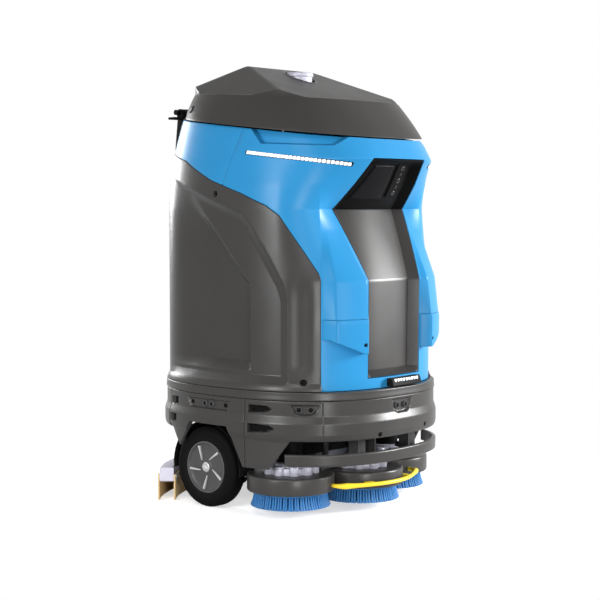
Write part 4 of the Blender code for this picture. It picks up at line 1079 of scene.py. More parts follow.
@dataclass
class Lights:
    """Rows of white lamps along the upper body, and the low sensor at the front."""

    ends: Pair = (-74.4, -28.2)
    line: tuple[Pair, ...] = ((-74.7, 0.876), (-27.6, 0.846))
    half: float = 0.0040
    margin: float = 0.9
    lamps: int = 27
    teeth: int = 9

    def build(self) -> None:
        """Builds both lamp rows and the front sensor."""
        centre = mirrored(self.line)
        for side in Side:
            sign = side.value
            span = span_of(side, self.margin - self.ends[0], -self.margin - self.ends[1])
            # The black strip under each lamp row is painted shade: it stands in for the shadow in the slot
            # the lamps sit in.
            shade_strip = Panel(f"lamp_channel_{side.word}", span, lambda a: centre(a) - self.half - 0.0016,
                            lambda a: centre(a) + self.half + 0.0016, SKIN.body, rows=[centre], pitch=1.2,
                            roll=0.0008, shape=lambda a, z: 0.0010, wall=0.002)
            shade_strip.build().piece(shade_strip.name, "chassis", BLACK)
            row = Shape()
            step = (self.ends[1] - self.ends[0]) / self.lamps
            for i in range(self.lamps):
                angle = -sign * (self.ends[0] + step * (i + 0.5))
                place, out = face_of(SKIN.body, angle, centre(angle))
                wide = 0.455 * step * ARC
                row.block((-wide, 0.0006, -self.half), (wide, 0.0030, self.half), 0.0007, 1,
                          upright(place, out))
            row.piece(f"led_strip_{side.word}", "chassis", LAMP, [f"led_strip_{side.word}"])
        self.build_front()

    def build_front(self) -> None:
        """Builds the black housing low at the front, with its pale comb."""
        low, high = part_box("front_lamp")
        body = Panel("front_lamp", (-7.5, 15.0), level(low.z), level(high.z + 0.001), SKIN.body,
                     rows=spread(low.z + 0.003, high.z - 0.002, 0.003), pitch=1.2, roll=0.0022,
                     shape=lambda a, z: 0.022 - 0.3 * (z - low.z),
                     back=lambda a, z, out: SKIN.body(a, z, 0.0007))
        body.build().piece("front_lamp", "chassis", BLACK, ["front_lamp"], 50.0)
        comb = Shape()
        for i in range(self.teeth):
            angle = -5.0 + 17.0 * i / (self.teeth - 1)
            place, out = face_of(SKIN.body, angle, high.z - 0.0055)
            comb.block((-0.0036, 0.008, -0.0045), (0.0036, 0.0185, 0.0070), 0.0012, 2, upright(place, out))
        comb.piece("front_lamp_comb", "chassis", LAMP)


# ------------------------------------------------------------------ lid
@dataclass
class Lid:
    """Hinged lid: a leaning band all round under a hipped roof, with the scanner sunk in its front slope."""

    half_width: float = 0.285
    half_length: float = 0.2795
    centre_y: float = -0.0145
    upper_y: float = -0.0015
    upper_width: float = 0.865
    upper_rear: float = 0.913
    upper_front: float = 0.805
    ridge_half: float = 0.12
    ridge_y: float = 0.07
    peak: float = 1.10
    wall: float = 0.004
    well_radius: float = 0.040
    well_floor: float = 1.046
    front_fall: float = 0.39
    rear_fall: float = 0.44
    side_fall: float = 0.72
    pin_place: Pair = (0.278, 0.990)
    pin: float = 0.005
    eye: float = 0.0095
    lug_foot: float = 0.240
    plate_gap: float = 0.0003
    housing_span: Pair = (156.0, 204.0)
    housing_low: float = 0.850
    housing_back: float = 0.327
    cap_angle: float = 124.0

    def plan(self, angle: float, scale_x: float, scale_y: float, centre_y: float) -> Vector:
        """Point of an outline of the lid."""
        radius = SKIN.radius(angle, self.half_width * scale_x, self.half_length * scale_y)
        turn = math.radians(angle)
        return Vector((radius * math.sin(turn), centre_y - radius * math.cos(turn)))

    def band_top(self, y: float) -> float:
        """Height of the crease between band and roof."""
        return 1.003 + 0.061 * (y + 0.25)

    def roof(self, x: float, y: float) -> float:
        """Height of the roof."""
        falls = (self.front_fall * (self.ridge_y - y), self.rear_fall * (y - self.ridge_y),
                 self.side_fall * max(0.0, abs(x) - self.ridge_half), 0.0)
        return max(self.band_top(y), self.peak - self.soft_max(falls))

    def soft_max(self, values: Sequence[float], soft: float = 0.0022) -> float:
        """Largest of some values, with the corner between them rounded."""
        top = max(values)
        total = sum(math.exp((v - top) / soft) for v in values)
        return top + soft * (math.log(total) - math.log(len(values)))

    def surface(self, angle: float, share: float, inset: float) -> Vector:
        """Point of the lid.

        Args:
            angle: Angle round it.
            share: 0 at the lower edge, 1 at the top of the band, 2 on the ridge.
            inset: Distance inside the outer surface.

        Returns:
            The point.
        """
        thin = inset / 0.28
        base = self.plan(angle, 1.0 - thin, 1.0 - thin, self.centre_y)
        full = self.plan(angle, self.upper_width - thin, self.upper_rear - thin, self.upper_y)
        upper = full
        if abs(angle) < 90.0:
            upper = self.plan(angle, self.upper_width - thin, self.upper_front - thin, self.upper_y)
        if share <= 1.0:
            at = base.lerp(upper, share)
            low, high = SKIN.lid_edge(base.y), self.band_top(upper.y) - inset
            swell = 0.0025 * math.sin(math.pi * share)
            return Vector((*(at * (1.0 + swell / at.length)), low + (high - low) * share))
        ridge = Vector((max(-self.ridge_half, min(self.ridge_half, full.x)), self.ridge_y))
        at = upper.lerp(ridge, share - 1.0)
        return Vector((*at, self.roof(*at) - inset))

    def build_shell(self) -> None:
        """Builds the shell and cuts its well."""
        shares = [0.0, 0.012, 0.04, *[i / 12 for i in range(1, 12)], 0.965, 0.985, 1.0, 1.012, 1.03,
                  *[1.0 + i / 34 for i in range(2, 34)], 2.0]
        columns = 180
        part = bmesh.new()
        bmesh.ops.create_grid(part, x_segments=columns, y_segments=2 * len(shares) - 1, size=1.0)
        path = [(s, 0.0) for s in reversed(shares)] + [(s, self.wall) for s in shares]
        for vert in part.verts:
            angle = -180.0 + 360.0 * round((vert.co.x + 1.0) / 2.0 * columns) / columns
            share, inset = path[round((vert.co.y + 1.0) / 2.0 * (len(path) - 1))]
            rolled = 0.0012 * (1.0 - ramp(0.0, 0.03, share)) if inset == 0.0 else 0.0
            vert.co = self.surface(angle, share, inset + rolled)
        bmesh.ops.remove_doubles(part, verts=part.verts, dist=2e-5)
        bmesh.ops.dissolve_degenerate(part, edges=part.edges, dist=2e-5)
        shell = Shape()
        shell.take(part)
        # The lid takes the shaded copy of the moulding, so its roof reads darker as painted shade.
        made = shell.piece("lid_shell", "lid", LID_SHADED_GREY, ["lid_shell"], 30.0)
        self.cut_well(made)

    def cut_well(self, shell: bpy.types.Object) -> None:
        """Cuts the scanner's well through the roof and applies it."""
        tool = Shape()
        tool.lathe([(0.0, self.well_floor - 0.02), (self.well_radius, self.well_floor - 0.02),
                    (self.well_radius, self.peak + 0.05), (0.0, self.peak + 0.05)], sides=64)
        mesh = bpy.data.meshes.new("well_tool")
        tool.bm.to_mesh(mesh)
        tool.bm.free()
        cutter = in_scene("well_tool", mesh)
        step = shell.modifiers.new("well", "BOOLEAN")
        step.operation, step.solver, step.object = "DIFFERENCE", "EXACT", cutter
        bpy.context.view_layer.update()
        cut = bpy.data.meshes.new_from_object(shell.evaluated_get(bpy.context.evaluated_depsgraph_get()))
        shell.modifiers.clear()
        shell.data = cut
        cut.set_sharp_from_angle(angle=math.radians(30.0))
        bpy.data.objects.remove(cutter)

    def build_scanner(self) -> None:
        """Builds the well's cup, its collar, and the turning scanner inside."""
        cup = bmesh.new()
        inner, outer = self.well_radius - 0.0002, self.well_radius + 0.003
        bmesh.ops.create_circle(cup, cap_ends=True, radius=outer, segments=64,
                                matrix=Matrix.Translation((0, 0, self.well_floor - 0.003)))
        grown = bmesh.ops.extrude_face_region(cup, geom=list(cup.faces))["geom"]
        bmesh.ops.translate(cup, verts=verts_of(grown), vec=(0, 0, 0.07))
        top = max(cup.faces, key=lambda f: f.calc_center_median().z)
        bmesh.ops.inset_region(cup, faces=[top], thickness=outer - inner, use_even_offset=True)
        bmesh.ops.translate(cup, verts=list(top.verts), vec=(0, 0, -0.067))
        slope = Vector((0.0, -self.front_fall, 1.0)).normalized()
        lip = Vector((0.0, 0.0, self.roof(0.0, 0.0) - 0.002))
        cut = bmesh.ops.bisect_plane(cup, geom=list(cup.verts) + list(cup.edges) + list(cup.faces),
                                     plane_co=lip, plane_no=slope, clear_outer=True)
        rims = [g for g in cut["geom_cut"] if isinstance(g, bmesh.types.BMEdge)]
        bmesh.ops.bridge_loops(cup, edges=rims)
        shape = Shape()
        shape.take(cup)
        shape.piece("scanner_cup", "lid", BLACK)
        collar = Shape()
        profile = [(self.well_radius - 0.001, -0.002), (self.well_radius + 0.004, -0.002),
                   (self.well_radius + 0.0045, 0.0004), (self.well_radius + 0.002, 0.0018),
                   (self.well_radius - 0.0005, 0.001)]
        collar.lathe(profile, sides=72)
        lean = math.atan(self.front_fall)
        collar.bm.transform(Matrix.Translation((0, 0, self.roof(0, 0))) @ Matrix.Rotation(lean, 4, "X")
                            @ Matrix.Diagonal((1.0, 1.0 / math.cos(lean), 1.0, 1.0)))
        collar.piece("scanner_collar", "lid", GREY, crease=50.0)
        low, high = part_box("lidar_turret")
        radius, base, tall = (high.x - low.x) / 2, low.z, high.z
        drum = Shape()
        drum.lathe([(0.0, base), (radius - 0.002, base), (radius, base + 0.002), (radius, base + 0.012),
                    (radius - 0.003, base + 0.014), (radius - 0.003, tall - 0.012), (radius, tall - 0.010),
                    (radius, tall - 0.004), (radius - 0.001, tall - 0.0015), (radius - 0.004, tall - 0.0004),
                    (radius - 0.010, tall), (0.0, tall)], sides=64)
        drum.piece("lidar_turret", "lid", GEARBOX, ["lidar_turret"], 45.0)

    def build_hinge(self) -> None:
        """Builds the lid's lugs and the bracket that carries its pin."""
        (y, z), eye, pin = self.pin_place, self.eye, self.pin
        plate_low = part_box("rear_panel")[1].z + self.plate_gap
        lugs = Shape()
        arc = arc_points((y, z), eye, -90.0, 90.0, 12)
        for sign in (-1, 1):
            ends = sorted((sign * 0.120, sign * 0.140))
            foot = [(self.lug_foot, z + eye - 0.002), (self.lug_foot, z - eye + 0.002)]
            lugs.slab(arc + foot, *ends, soft=0.0012, along="X")
        lugs.piece("lid_lugs", "lid", GREY)
        bracket = Shape()
        bracket.block((-0.185, 0.2675, plate_low), (0.185, 0.293, z - 0.0125), 0.0018, 3)
        bracket.lathe([(0.0, 0.0), (pin + 0.002, 0.0), (pin + 0.002, 0.004), (pin, 0.005), (pin, 0.339),
                       (pin + 0.002, 0.340), (pin + 0.002, 0.344), (0.0, 0.344)],
                      (-0.172, y, z), (1, 0, 0), 24)
        arc = arc_points((y, z), eye, 0.0, 180.0, 12)
        for sign in (-1, 1):
            ends = sorted((sign * 0.1425, sign * 0.1585))
            bracket.slab(arc + [(y - eye, z - 0.016), (y + eye, z - 0.016)], *ends, soft=0.0012, along="X")
            for x in (0.07, 0.175):
                bracket.screw(Vector((sign * x, 0.280, z - 0.0125)), Vector((0, 0, 1)), 0.0035)
        bracket.piece("lid_hinge_bracket", "chassis", BLACK, ["lid_hinge_bracket"])
        housing = Panel("hinge_housing", self.housing_span, level(self.housing_low), level(plate_low + 0.003),
                        self.housing_face, rows=spread(self.housing_low + 0.005, 0.968, 0.008), pitch=1.5,
                        roll=0.004, back=lambda a, z, out: wrapped_body(a, z, 0.0006))
        housing.build().piece("hinge_housing", "chassis", BLACK)

    def build_caps(self) -> None:
        """Builds the round pivot cap at the rear of the lid on each side."""
        caps, rings = Shape(), Shape()
        for sign in (-1, 1):
            angle = sign * self.cap_angle
            place = self.surface(angle, 0.42, 0.0)
            side = self.surface(angle + 2.0, 0.42, 0.0) - self.surface(angle - 2.0, 0.42, 0.0)
            up = self.surface(angle, 0.60, 0.0) - self.surface(angle, 0.25, 0.0)
            out = side.cross(up).normalized()
            caps.lathe([(0.0, -0.004), (0.0068, -0.004), (0.0068, 0.0010), (0.0055, 0.0022), (0.0, 0.0026)],
                       place, out, 32)
            rings.lathe([(0.0070, -0.004), (0.0098, -0.004), (0.0098, 0.0012), (0.0090, 0.0018),
                         (0.0074, 0.0018), (0.0070, 0.0012)], place, out, 32)
        caps.piece("lid_pivot_caps", "lid", GREY)
        rings.piece("lid_pivot_rings", "lid", BLACK)

    def housing_face(self, angle: float, z: float, out: float) -> Vector:
        """Flat-backed face of the hinge housing behind the lid."""
        point = wrapped_body(angle, z, 0.0)
        depth = self.housing_back - 0.02 * (1.0 - smooth_step(0.84, 0.90, z))
        return Vector((point.x, max(point.y + 0.004, depth) + out, z))

    def build(self) -> None:
        """Builds the lid, its hinge and its scanner."""
        self.build_shell()
        self.build_scanner()
        self.build_caps()
        self.build_hinge()


# ------------------------------------------------------------------ skirt
@dataclass
class Skirt:
    """Lower body: tray rim, skirt panels with slots and sensor pockets, wheel fenders and bumper."""

    low: float = 0.190
    top: float = 0.287
    profile: tuple[Pair, ...] = ((0.190, -0.005), (0.196, -0.0015), (0.205, 0.0), (0.232, 0.0),
                                 (0.250, -0.006), (0.287, -0.006))
    front_low: tuple[Pair, ...] = ((-75.0, 0.120), (-62.0, 0.120), (-53.0, 0.190))
    arch: tuple[Pair, ...] = ((-126.0, 0.205), (-117.0, 0.150), (-112.7, 0.180), (-107.7, 0.215),
                              (-84.0, 0.215), (-75.2, 0.120))
    slots: tuple[tuple[Pair, ...], ...] = (
        ((-71.8, 0.2735), (-63.5, 0.2725), (-61.2, 0.266), (-63.2, 0.259), (-71.8, 0.2560)),
        ((-71.8, 0.2290), (-62.6, 0.2270), (-60.0, 0.2200), (-63.0, 0.2120), (-71.8, 0.2090)))
    corner_slots: tuple[tuple[Pair, ...], ...] = (
        ((-125.0, 0.268), (-118.5, 0.270), (-118.5, 0.253), (-125.0, 0.252)),
        ((-125.0, 0.226), (-118.5, 0.227), (-118.5, 0.209), (-125.0, 0.208)))
    sonar_side: tuple[Pair, ...] = ((-52.4, 0.277), (-41.4, 0.277), (-42.8, 0.259), (-44.8, 0.2545),
                                    (-49.0, 0.2545), (-51.0, 0.259))
    sonar_front: tuple[Pair, ...] = ((-6.4, 0.279), (6.4, 0.279), (4.6, 0.252), (2.6, 0.2465), (-2.6, 0.2465),
                                     (-4.6, 0.252))
    arch_panel: tuple[Pair, ...] = ((-110.5, 0.2755), (-83.0, 0.2755), (-84.5, 0.2530), (-108.5, 0.2530))
    collar: tuple[Pair, ...] = ((-72.9, 0.2830), (-40.0, 0.2830), (-40.0, 0.188), (-62.0, 0.188),
                                (-66.5, 0.1960), (-72.9, 0.2050))
    fender: Pair = (74.0, 126.0)
    bumper_span: Pair = (-55.4, 55.4)
    front_screws: tuple[Pair, ...] = ((-14.6, 0.2000), (16.1, 0.2060))
    arch_screws: tuple[float, ...] = (-108.0, -86.0)
    side_sonars: tuple[Pair, ...] = ((-49.4, 0.2660), (-44.6, 0.2660))
    front_sonars: tuple[Pair, ...] = ((-2.9, 0.2640), (2.9, 0.2640))
    arch_sonars: tuple[Pair, ...] = ((-99.0, 0.2645), (-94.6, 0.2645))

    def swell(self, angle: float, z: float) -> float:
        """Flare of the skirt at a height."""
        return follow(self.profile, z)

    def build_panel(self, name: str, span: Pair, low: Edge, reliefs: Sequence[Pocket | Hole],
                    knots: Sequence[float] = ()) -> None:
        """Builds one panel of the skirt."""
        rows = spread(0.124, self.top - 0.0025, 0.0026)
        rows = [r for r in rows if r > min(low(a) for a in spread(*span, 3.0)) - 0.003]
        panel = Panel(name, span, low, level(self.top), SKIN.skirt, wall=0.006, rows=rows, reliefs=reliefs,
                      shape=self.swell, pitch=0.62, knots=knots, roll=0.0018,
                      back=lambda a, z, out: SKIN.skirt(a, z, min(-0.0118, out - 0.002)))
        panel.build().piece(name, "chassis", GREY, [name], 40.0)

    def build_sensors(self) -> None:
        """Builds round sensors and screw heads in the skirt's pockets."""
        rounds, rims, heads = Shape(), Shape(), Shape()
        places = [(s * a, z, -0.0120) for s in (-1, 1) for a, z in self.side_sonars + self.arch_sonars]
        places += [(a, z, -0.0120) for a, z in self.front_sonars]
        for angle, z, out in places:
            place, way = face_of(SKIN.skirt, angle, z, out)
            rounds.lathe([(0.0, 0.0035), (0.004, 0.0030), (0.0058, 0.0012), (0.0058, -0.001), (0.0, -0.001)],
                         place, way, 24)
            rims.lathe([(0.0060, -0.001), (0.0078, -0.001), (0.0078, 0.0040), (0.0072, 0.0048),
                        (0.0064, 0.0048), (0.0060, 0.0042)], place, way, 24)
        screws = [(a, z, -0.003) for a, z in self.front_screws]
        screws += [(s * a, 0.2645, -0.0120) for s in (-1, 1) for a in self.arch_screws]
        screws += [(s * -70.6, z, -0.014) for s in (-1, 1) for z in (0.2648, 0.2195)]
        for angle, z, out in screws:
            place, way = face_of(SKIN.skirt, angle, z, out)
            heads.screw(place + 0.002 * way, way, 0.0040)
        rounds.piece("sonar_faces", "chassis", BLACK)
        rims.piece("sonar_rims", "chassis", RIM)
        heads.piece("skirt_screws", "chassis", BLACK)

    def build(self) -> None:
        """Builds the skirt panels, fenders, tray rim and bumper."""
        reliefs: list[Pocket | Hole] = [
            Pocket(self.collar, -0.0012, 0.0018), Pocket(self.sonar_side, 0.007, 0.004),
            Pocket(self.sonar_front, 0.007, 0.004, both=False)]
        reliefs += [Pocket(s, 0.0105, 0.0030, dark=True) for s in self.slots]
        reliefs += [Hole(a, z) for a, z in self.front_screws]
        knots = [s * a for s in (-1, 1) for a in (53.0, 62.0)]
        span = (-self.fender[0], self.fender[0])
        self.build_panel("skirt_front", span, mirrored(self.front_low), reliefs, knots)
        for side in Side:
            sign = side.value
            around: list[Pocket | Hole] = [Pocket(self.arch_panel, 0.006, 0.003)]
            around += [Pocket(s, 0.009, 0.003, dark=True) for s in self.corner_slots]
            around += [Hole(sign * -a, 0.2645, 0.0045, 0.004) for a in self.arch_screws]
            span = span_of(side, *self.fender)
            self.build_panel(f"fender_{side.word}", span, mirrored(self.arch), around,
                             [sign * a for a in (75.2, 84.0, 107.7, 112.7, 117.0)])
        self.build_panel("skirt_rear", (self.fender[1], 360.0 - self.fender[1]), level(self.low), [])
        rim = Panel("body_floor", (-180.0, 180.0), level(0.2873), level(0.3077), SKIN.skirt,
                    rows=[0.2900, 0.2950, 0.3000, 0.3050], pitch=1.5, closed=True, roll=0.0025,
                    shape=lambda a, z: -0.005 + 0.001 * ramp(0.300, 0.290, z) if z else 0.0, wall=0.015)
        rim.seam = 0.0
        rim.build().piece("tray_rim", "chassis", GREY, ["body_floor"], 40.0)
        self.build_sensors()
        self.build_bumper()

    def build_bumper(self) -> None:
        """Builds the floating bumper band with its guide rods."""
        low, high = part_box("bumper_band")
        band = Panel("bumper_band", self.bumper_span, level(low.z), level(high.z), SKIN.skirt,
                     rows=spread(low.z + 0.006, high.z - 0.006, 0.004), pitch=1.0, roll=0.0034,
                     back=lambda a, z, out: SKIN.skirt(a, z, -0.009))
        made = band.build()
        for sign in (-1, 1):
            rod = [(0.0, 0.0), (0.012, 0.0), (0.012, 0.006), (0.006, 0.008), (0.006, 0.085), (0.0, 0.086)]
            made.lathe(rod, (sign * 0.10, -0.322, 0.145), (0, 1, 0), 24)
        made.piece("bumper_band", "bumper", GREY, ["bumper_band"], 50.0)


# ------------------------------------------------------------------ running gear
@dataclass
class DriveWheels:
    """Driven wheels with smooth tyres, finned rims and hub nuts."""

    rim: float = 0.065
    shoulder: float = 0.013
    fins: int = 5
    fin_angle: float = 62.0
    fin_tip: tuple[float, float, float, float] = (0.0060, 0.0062, 0.016, 0.0545)
    fin_root: tuple[float, float, float, float] = (0.0050, 0.0022, 0.012, 0.018)

    def build(self) -> None:
        """Builds both wheels."""
        for side in Side:
            self.build_wheel(side)

    def build_wheel(self, side: Side) -> None:
        """Builds the wheel on one side."""
        sign, word = side.value, side.word
        low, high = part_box(f"tyre_{word}")
        hub, half, radius = middle(f"tyre_{word}"), (high.x - low.x) / 2, (high.z - low.z) / 2
        rim = self.rim
        tyre = Shape()
        arc = arc_points((radius - self.shoulder, half - self.shoulder), self.shoulder, 0.0, 90.0, 8)
        inside = [(rim + 0.0004, half - 0.002), (rim + 0.0030, half)]
        tread = [(radius, 0.004), (radius, 0.0022), (radius - 0.0012, 0.0016), (radius - 0.0012, -0.0016)]
        outer = inside + [(r, w) for r, w in reversed(arc)] + tread
        profile = outer + [(r, -w) for r, w in reversed(outer[:-2])]
        tyre.lathe(profile, hub, (sign, 0, 0), 96)
        tyre.piece(f"tyre_{word}", f"wheel_{word}", RUBBER, [f"tyre_{word}"], 40.0)
        dish = Shape()
        w = half
        dish.lathe([(0.0, -w - 0.026), (0.008, -w - 0.026), (0.008, -w + 0.004), (0.030, -w + 0.006),
                    (rim - 0.006, -w + 0.006), (rim, -w + 0.004), (rim, w - 0.0035),
                    (rim - 0.0012, w - 0.002), (rim - 0.0045, w - 0.002), (rim - 0.0062, w - 0.006),
                    (rim - 0.010, w - 0.0085), (0.034, w - 0.0080), (0.020, w - 0.0060), (0.017, w - 0.0055),
                    (0.0155, w - 0.004), (0.0, w - 0.004)], hub, (sign, 0, 0), 96)
        dish.piece(f"wheel_rim_{word}", f"wheel_{word}", RIM, [f"wheel_rim_{word}"], 40.0)
        fins, nut = Shape(), Shape()
        face = Matrix.Translation(hub + Vector((sign * (w - 0.0062), 0, 0)))
        for i in range(self.fins):
            turn = Matrix.Rotation(math.radians(self.fin_angle + 360.0 / self.fins * i), 4, "X")
            part = bmesh.new()
            bmesh.ops.create_cube(part, size=1.0)
            for vert in part.verts:
                thick, wide, lean, reach = self.fin_tip if vert.co.z > 0 else self.fin_root
                vert.co = Vector((vert.co.x * thick, vert.co.y * wide + lean, reach))
            soften(part, part.edges, 0.0008, 2)
            fins.take(part, face @ turn)
        fins.piece(f"rim_fins_{word}", f"wheel_{word}", FIN)
        nut.lathe([(0.0, 0.0), (0.0125, 0.0), (0.0125, 0.0015), (0.0105, 0.0030), (0.0, 0.0030)],
                  hub + Vector((sign * (w - 0.0048), 0, 0)), (sign, 0, 0), 36)
        nut.lathe([(0.0, 0.0), (0.0078, 0.0), (0.0078, 0.0040), (0.0065, 0.0052), (0.0040, 0.0058),
                   (0.0, 0.0060)], hub + Vector((sign * (w - 0.0040), 0, 0)), (sign, 0, 0), 6)
        nut.piece(f"hub_nut_{word}", f"wheel_{word}", STEEL, crease=30.0)


@dataclass
class Underbody:
    """Dark liners in the wheel arches, and a black sheet behind the brush motors that is painted shade for
    the gap behind the bumper.
    """

    arch: float = 0.1125
    sweep: Pair = (-6.0, 186.0)
    thick: float = 0.0020
    wall: float = 0.0016
    inner_x: float = 0.2245
    outer_x: float = 0.2760
    bore: float = 0.0450
    curtain: tuple[tuple[float, float, float], tuple[float, float, float]] = ((-0.150, -0.0735, 0.118),
                                                                              (0.235, -0.0705, 0.1995))

    def build(self) -> None:
        """Builds the liners and the painted-shade sheet."""
        for side in Side:
            hub = middle(f"tyre_{side.word}")
            outer, inner, bore = (arc_points((hub.y, hub.z), radius, *self.sweep, 32)
                                  for radius in (self.arch + self.thick, self.arch, self.bore))
            liner = Shape()
            ends = [side.value * x for x in (self.inner_x - self.wall, self.inner_x, self.outer_x)]
            liner.slab(outer + inner[::-1], *sorted(ends[1:]), along="X")
            liner.slab(outer + bore[::-1], *sorted(ends[:2]), along="X")
            liner.piece(f"wheel_liner_{side.word}", "chassis", BLACK)
        # Black sheet behind the brush motors as painted shade, so the gap behind the bumper reads dark.
        shade_sheet = Shape()
        shade_sheet.block(*self.curtain, 0.001)
        for x in (-0.13, 0.0, 0.13):
            shade_sheet.screw(Vector((x, self.curtain[0][1], 0.190)), Vector((0, -1, 0)), 0.004)
        shade_sheet.piece("motor_curtain", "chassis", BLACK)


@dataclass
class BrushDeck:
    """Three counter-turning brushes under a lobed cover, their gearboxes and the yellow guard."""

    reach: float = 0.1070
    tufts: tuple[tuple[float, int], ...] = ((0.0900, 82), (0.0790, 70), (0.0670, 58), (0.0530, 44))
    tuft_radii: Pair = (0.0036, 0.0023)
    splay: float = 0.0065
    gearbox_lobe: float = 0.058
    lobes: int = 10

    def centres(self) -> dict[str, Vector]:
        """Brush centres by side."""
        return {s: middle(f"brush_hub_{s}").xy for s in ("right", "centre", "left")}

    def outline(self, reach: float, points: int = 20) -> list[Pair]:
        """Outline round the three brushes, one arc round each, anticlockwise."""
        centres = self.centres()
        mid, side = centres["centre"], centres["left"]
        apart = side - mid
        crossing = math.acos(apart.length / 2.0 / reach)
        bearing = math.atan2(apart.y, apart.x)

        def arc(centre: Sequence[float], start: float, end: float, count: int) -> list[Pair]:
            """Points round one brush, without the last."""
            turns = [start + (end - start) * i / count for i in range(count)]
            return [(centre[0] + reach * math.cos(a), centre[1] + reach * math.sin(a)) for a in turns]

        front = arc(mid, math.pi - bearing + crossing, math.tau + bearing - crossing, 2 * points)
        left = arc(side, bearing + math.pi + crossing, bearing + 3 * math.pi - crossing, 3 * points)
        back = arc(mid, bearing + crossing, math.pi - bearing - crossing, points)
        right = arc((-side.x, side.y), crossing - bearing, math.tau - bearing - crossing, 3 * points)
        return front + left + back + right

    def build_cover(self) -> None:
        """Builds the lobed cover."""
        low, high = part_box("deck_shroud")
        cover = Shape()
        cover.slab(self.outline(self.reach), low.z, high.z, 0.005, hollow=(0.004, 0.035))
        cover.piece("deck_shroud", "deck", GREY, ["deck_shroud"], 50.0)

    def build_gearboxes(self) -> None:
        """Builds the cast gearbox over each brush."""
        for word, centre in self.centres().items():
            low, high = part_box(f"brush_motor_{word}")
            box = Shape()
            x, y, base = centre.x, centre.y, low.z
            box.lathe([(0.0, base), (0.0580, base), (0.0590, base + 0.002), (0.0590, base + 0.014),
                       (0.0570, base + 0.017), (0.0480, base + 0.018), (0.0470, base + 0.024),
                       (0.0440, base + 0.0270), (0.0, base + 0.0275)], (x, y, 0), sides=48)
            motor = Shape()
            motor.lathe([(0.0, base + 0.0270), (0.0315, base + 0.0270), (0.0315, base + 0.030),
                         (0.0300, base + 0.031), (0.0300, high.z - 0.006), (0.0275, high.z - 0.001),
                         (0.022, high.z), (0.0, high.z)], (x, y, 0), sides=48)
            motor.piece(f"motor_can_{word}", "deck", BLACK)
            spin = math.atan2(y + 0.02, x) if x else -math.pi / 2
            for i in range(self.lobes):
                turn = spin + math.tau * (i + 0.5) / self.lobes
                at = (x + self.gearbox_lobe * math.cos(turn), y + self.gearbox_lobe * math.sin(turn), 0)
                box.lathe([(0.0, base), (0.0112, base), (0.0120, base + 0.001), (0.0120, base + 0.018),
                           (0.0100, base + 0.0220), (0.0, base + 0.0225)], at, sides=24)
            box.piece(f"brush_motor_{word}", "deck", GEARBOX, [f"brush_motor_{word}"], 40.0)

    def build_brush(self, word: str) -> None:
        """Builds one brush: its block and rings of tufts."""
        centre = self.centres()[word]
        low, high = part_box(f"bristles_{word}")
        hub_low, hub_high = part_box(f"brush_hub_{word}")
        block = Shape()
        radius = (hub_high.x - hub_low.x) / 2
        z = hub_low.z
        block.lathe([(0.0, z), (radius - 0.001, z), (radius, z + 0.001), (radius, z + 0.006),
                     (radius - 0.002, z + 0.0075), (0.040, z + 0.010), (0.030, z + 0.0115),
                     (0.014, z + 0.013), (0.012, z + 0.016), (0.012, hub_high.z), (0.0, hub_high.z)],
                    (*centre, 0), sides=64)
        block.piece(f"brush_hub_{word}", f"brush_{word}", BRISTLE, [f"brush_hub_{word}"])
        chance = random.Random(7 + len(word))
        tufts = Shape()
        tall = high.z + 0.0005 - low.z
        for reach, count in self.tufts:
            for i in range(count):
                turn = math.tau * (i + chance.uniform(-0.12, 0.12)) / count
                part = bmesh.new()
                tip, root = self.tuft_radii
                bmesh.ops.create_cone(part, cap_ends=True, segments=7, radius1=tip, radius2=root, depth=tall)
                long = [e for e in part.edges if abs((e.verts[0].co - e.verts[1].co).z) > tall / 2]
                bmesh.ops.subdivide_edges(part, edges=long, cuts=2)
                for vert in part.verts:
                    down = 0.5 - vert.co.z / tall
                    vert.co.x += self.splay * down * down + chance.uniform(-0.0002, 0.0002)
                place = Matrix.Translation((centre.x, centre.y, (low.z + high.z) / 2))
                ring = Matrix.Translation((reach - 0.0020, 0, 0))
                tufts.take(part, place @ Matrix.Rotation(turn, 4, "Z") @ ring)
        tufts.piece(f"bristles_{word}", f"brush_{word}", BRISTLE, [f"bristles_{word}"], 60.0)

    def build_guard(self) -> None:
        """Builds the yellow guard that bows in front of the deck."""
        low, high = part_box("bump_bar")
        z, half = (low.z + high.z) / 2, (high.z - low.z) / 2
        hook = self.centres()["left"] + Vector((-0.347, -0.938)).normalized() * (self.reach + 0.0016)
        bow = [(0.145 * s, -0.262 - 0.055 * (1.0 - s * s)) for s in (0.8, 0.55, 0.28, 0.0)]
        route = [(hook.x, hook.y), (hook.x + 0.001, hook.y - 0.010), (0.147, -0.264), (0.139, -0.2695)] + bow
        radii = [half, half, 1.35 * half, 1.5 * half, 1.1 * half, half, half, half]
        route, radii = route + [(-x, y) for x, y in reversed(route[:-1])], radii + radii[-2::-1]
        bar = Shape()
        bar.rope([(x, y, z) for x, y in route], radii, 16)
        for x in (-0.07, 0.07):
            y = -0.262 - 0.055 * (1.0 - (x / 0.145) ** 2)
            bar.block((x - 0.008, y + 0.002, z - 0.004), (x + 0.008, y + 0.030, z + 0.004), 0.0015)
        bar.piece("bump_bar", "deck", YELLOW, ["bump_bar"], 50.0)

    def build(self) -> None:
        """Builds the whole deck."""
        self.build_cover()
        self.build_gearboxes()
        for word in self.centres():
            self.build_brush(word)
        self.build_guard()


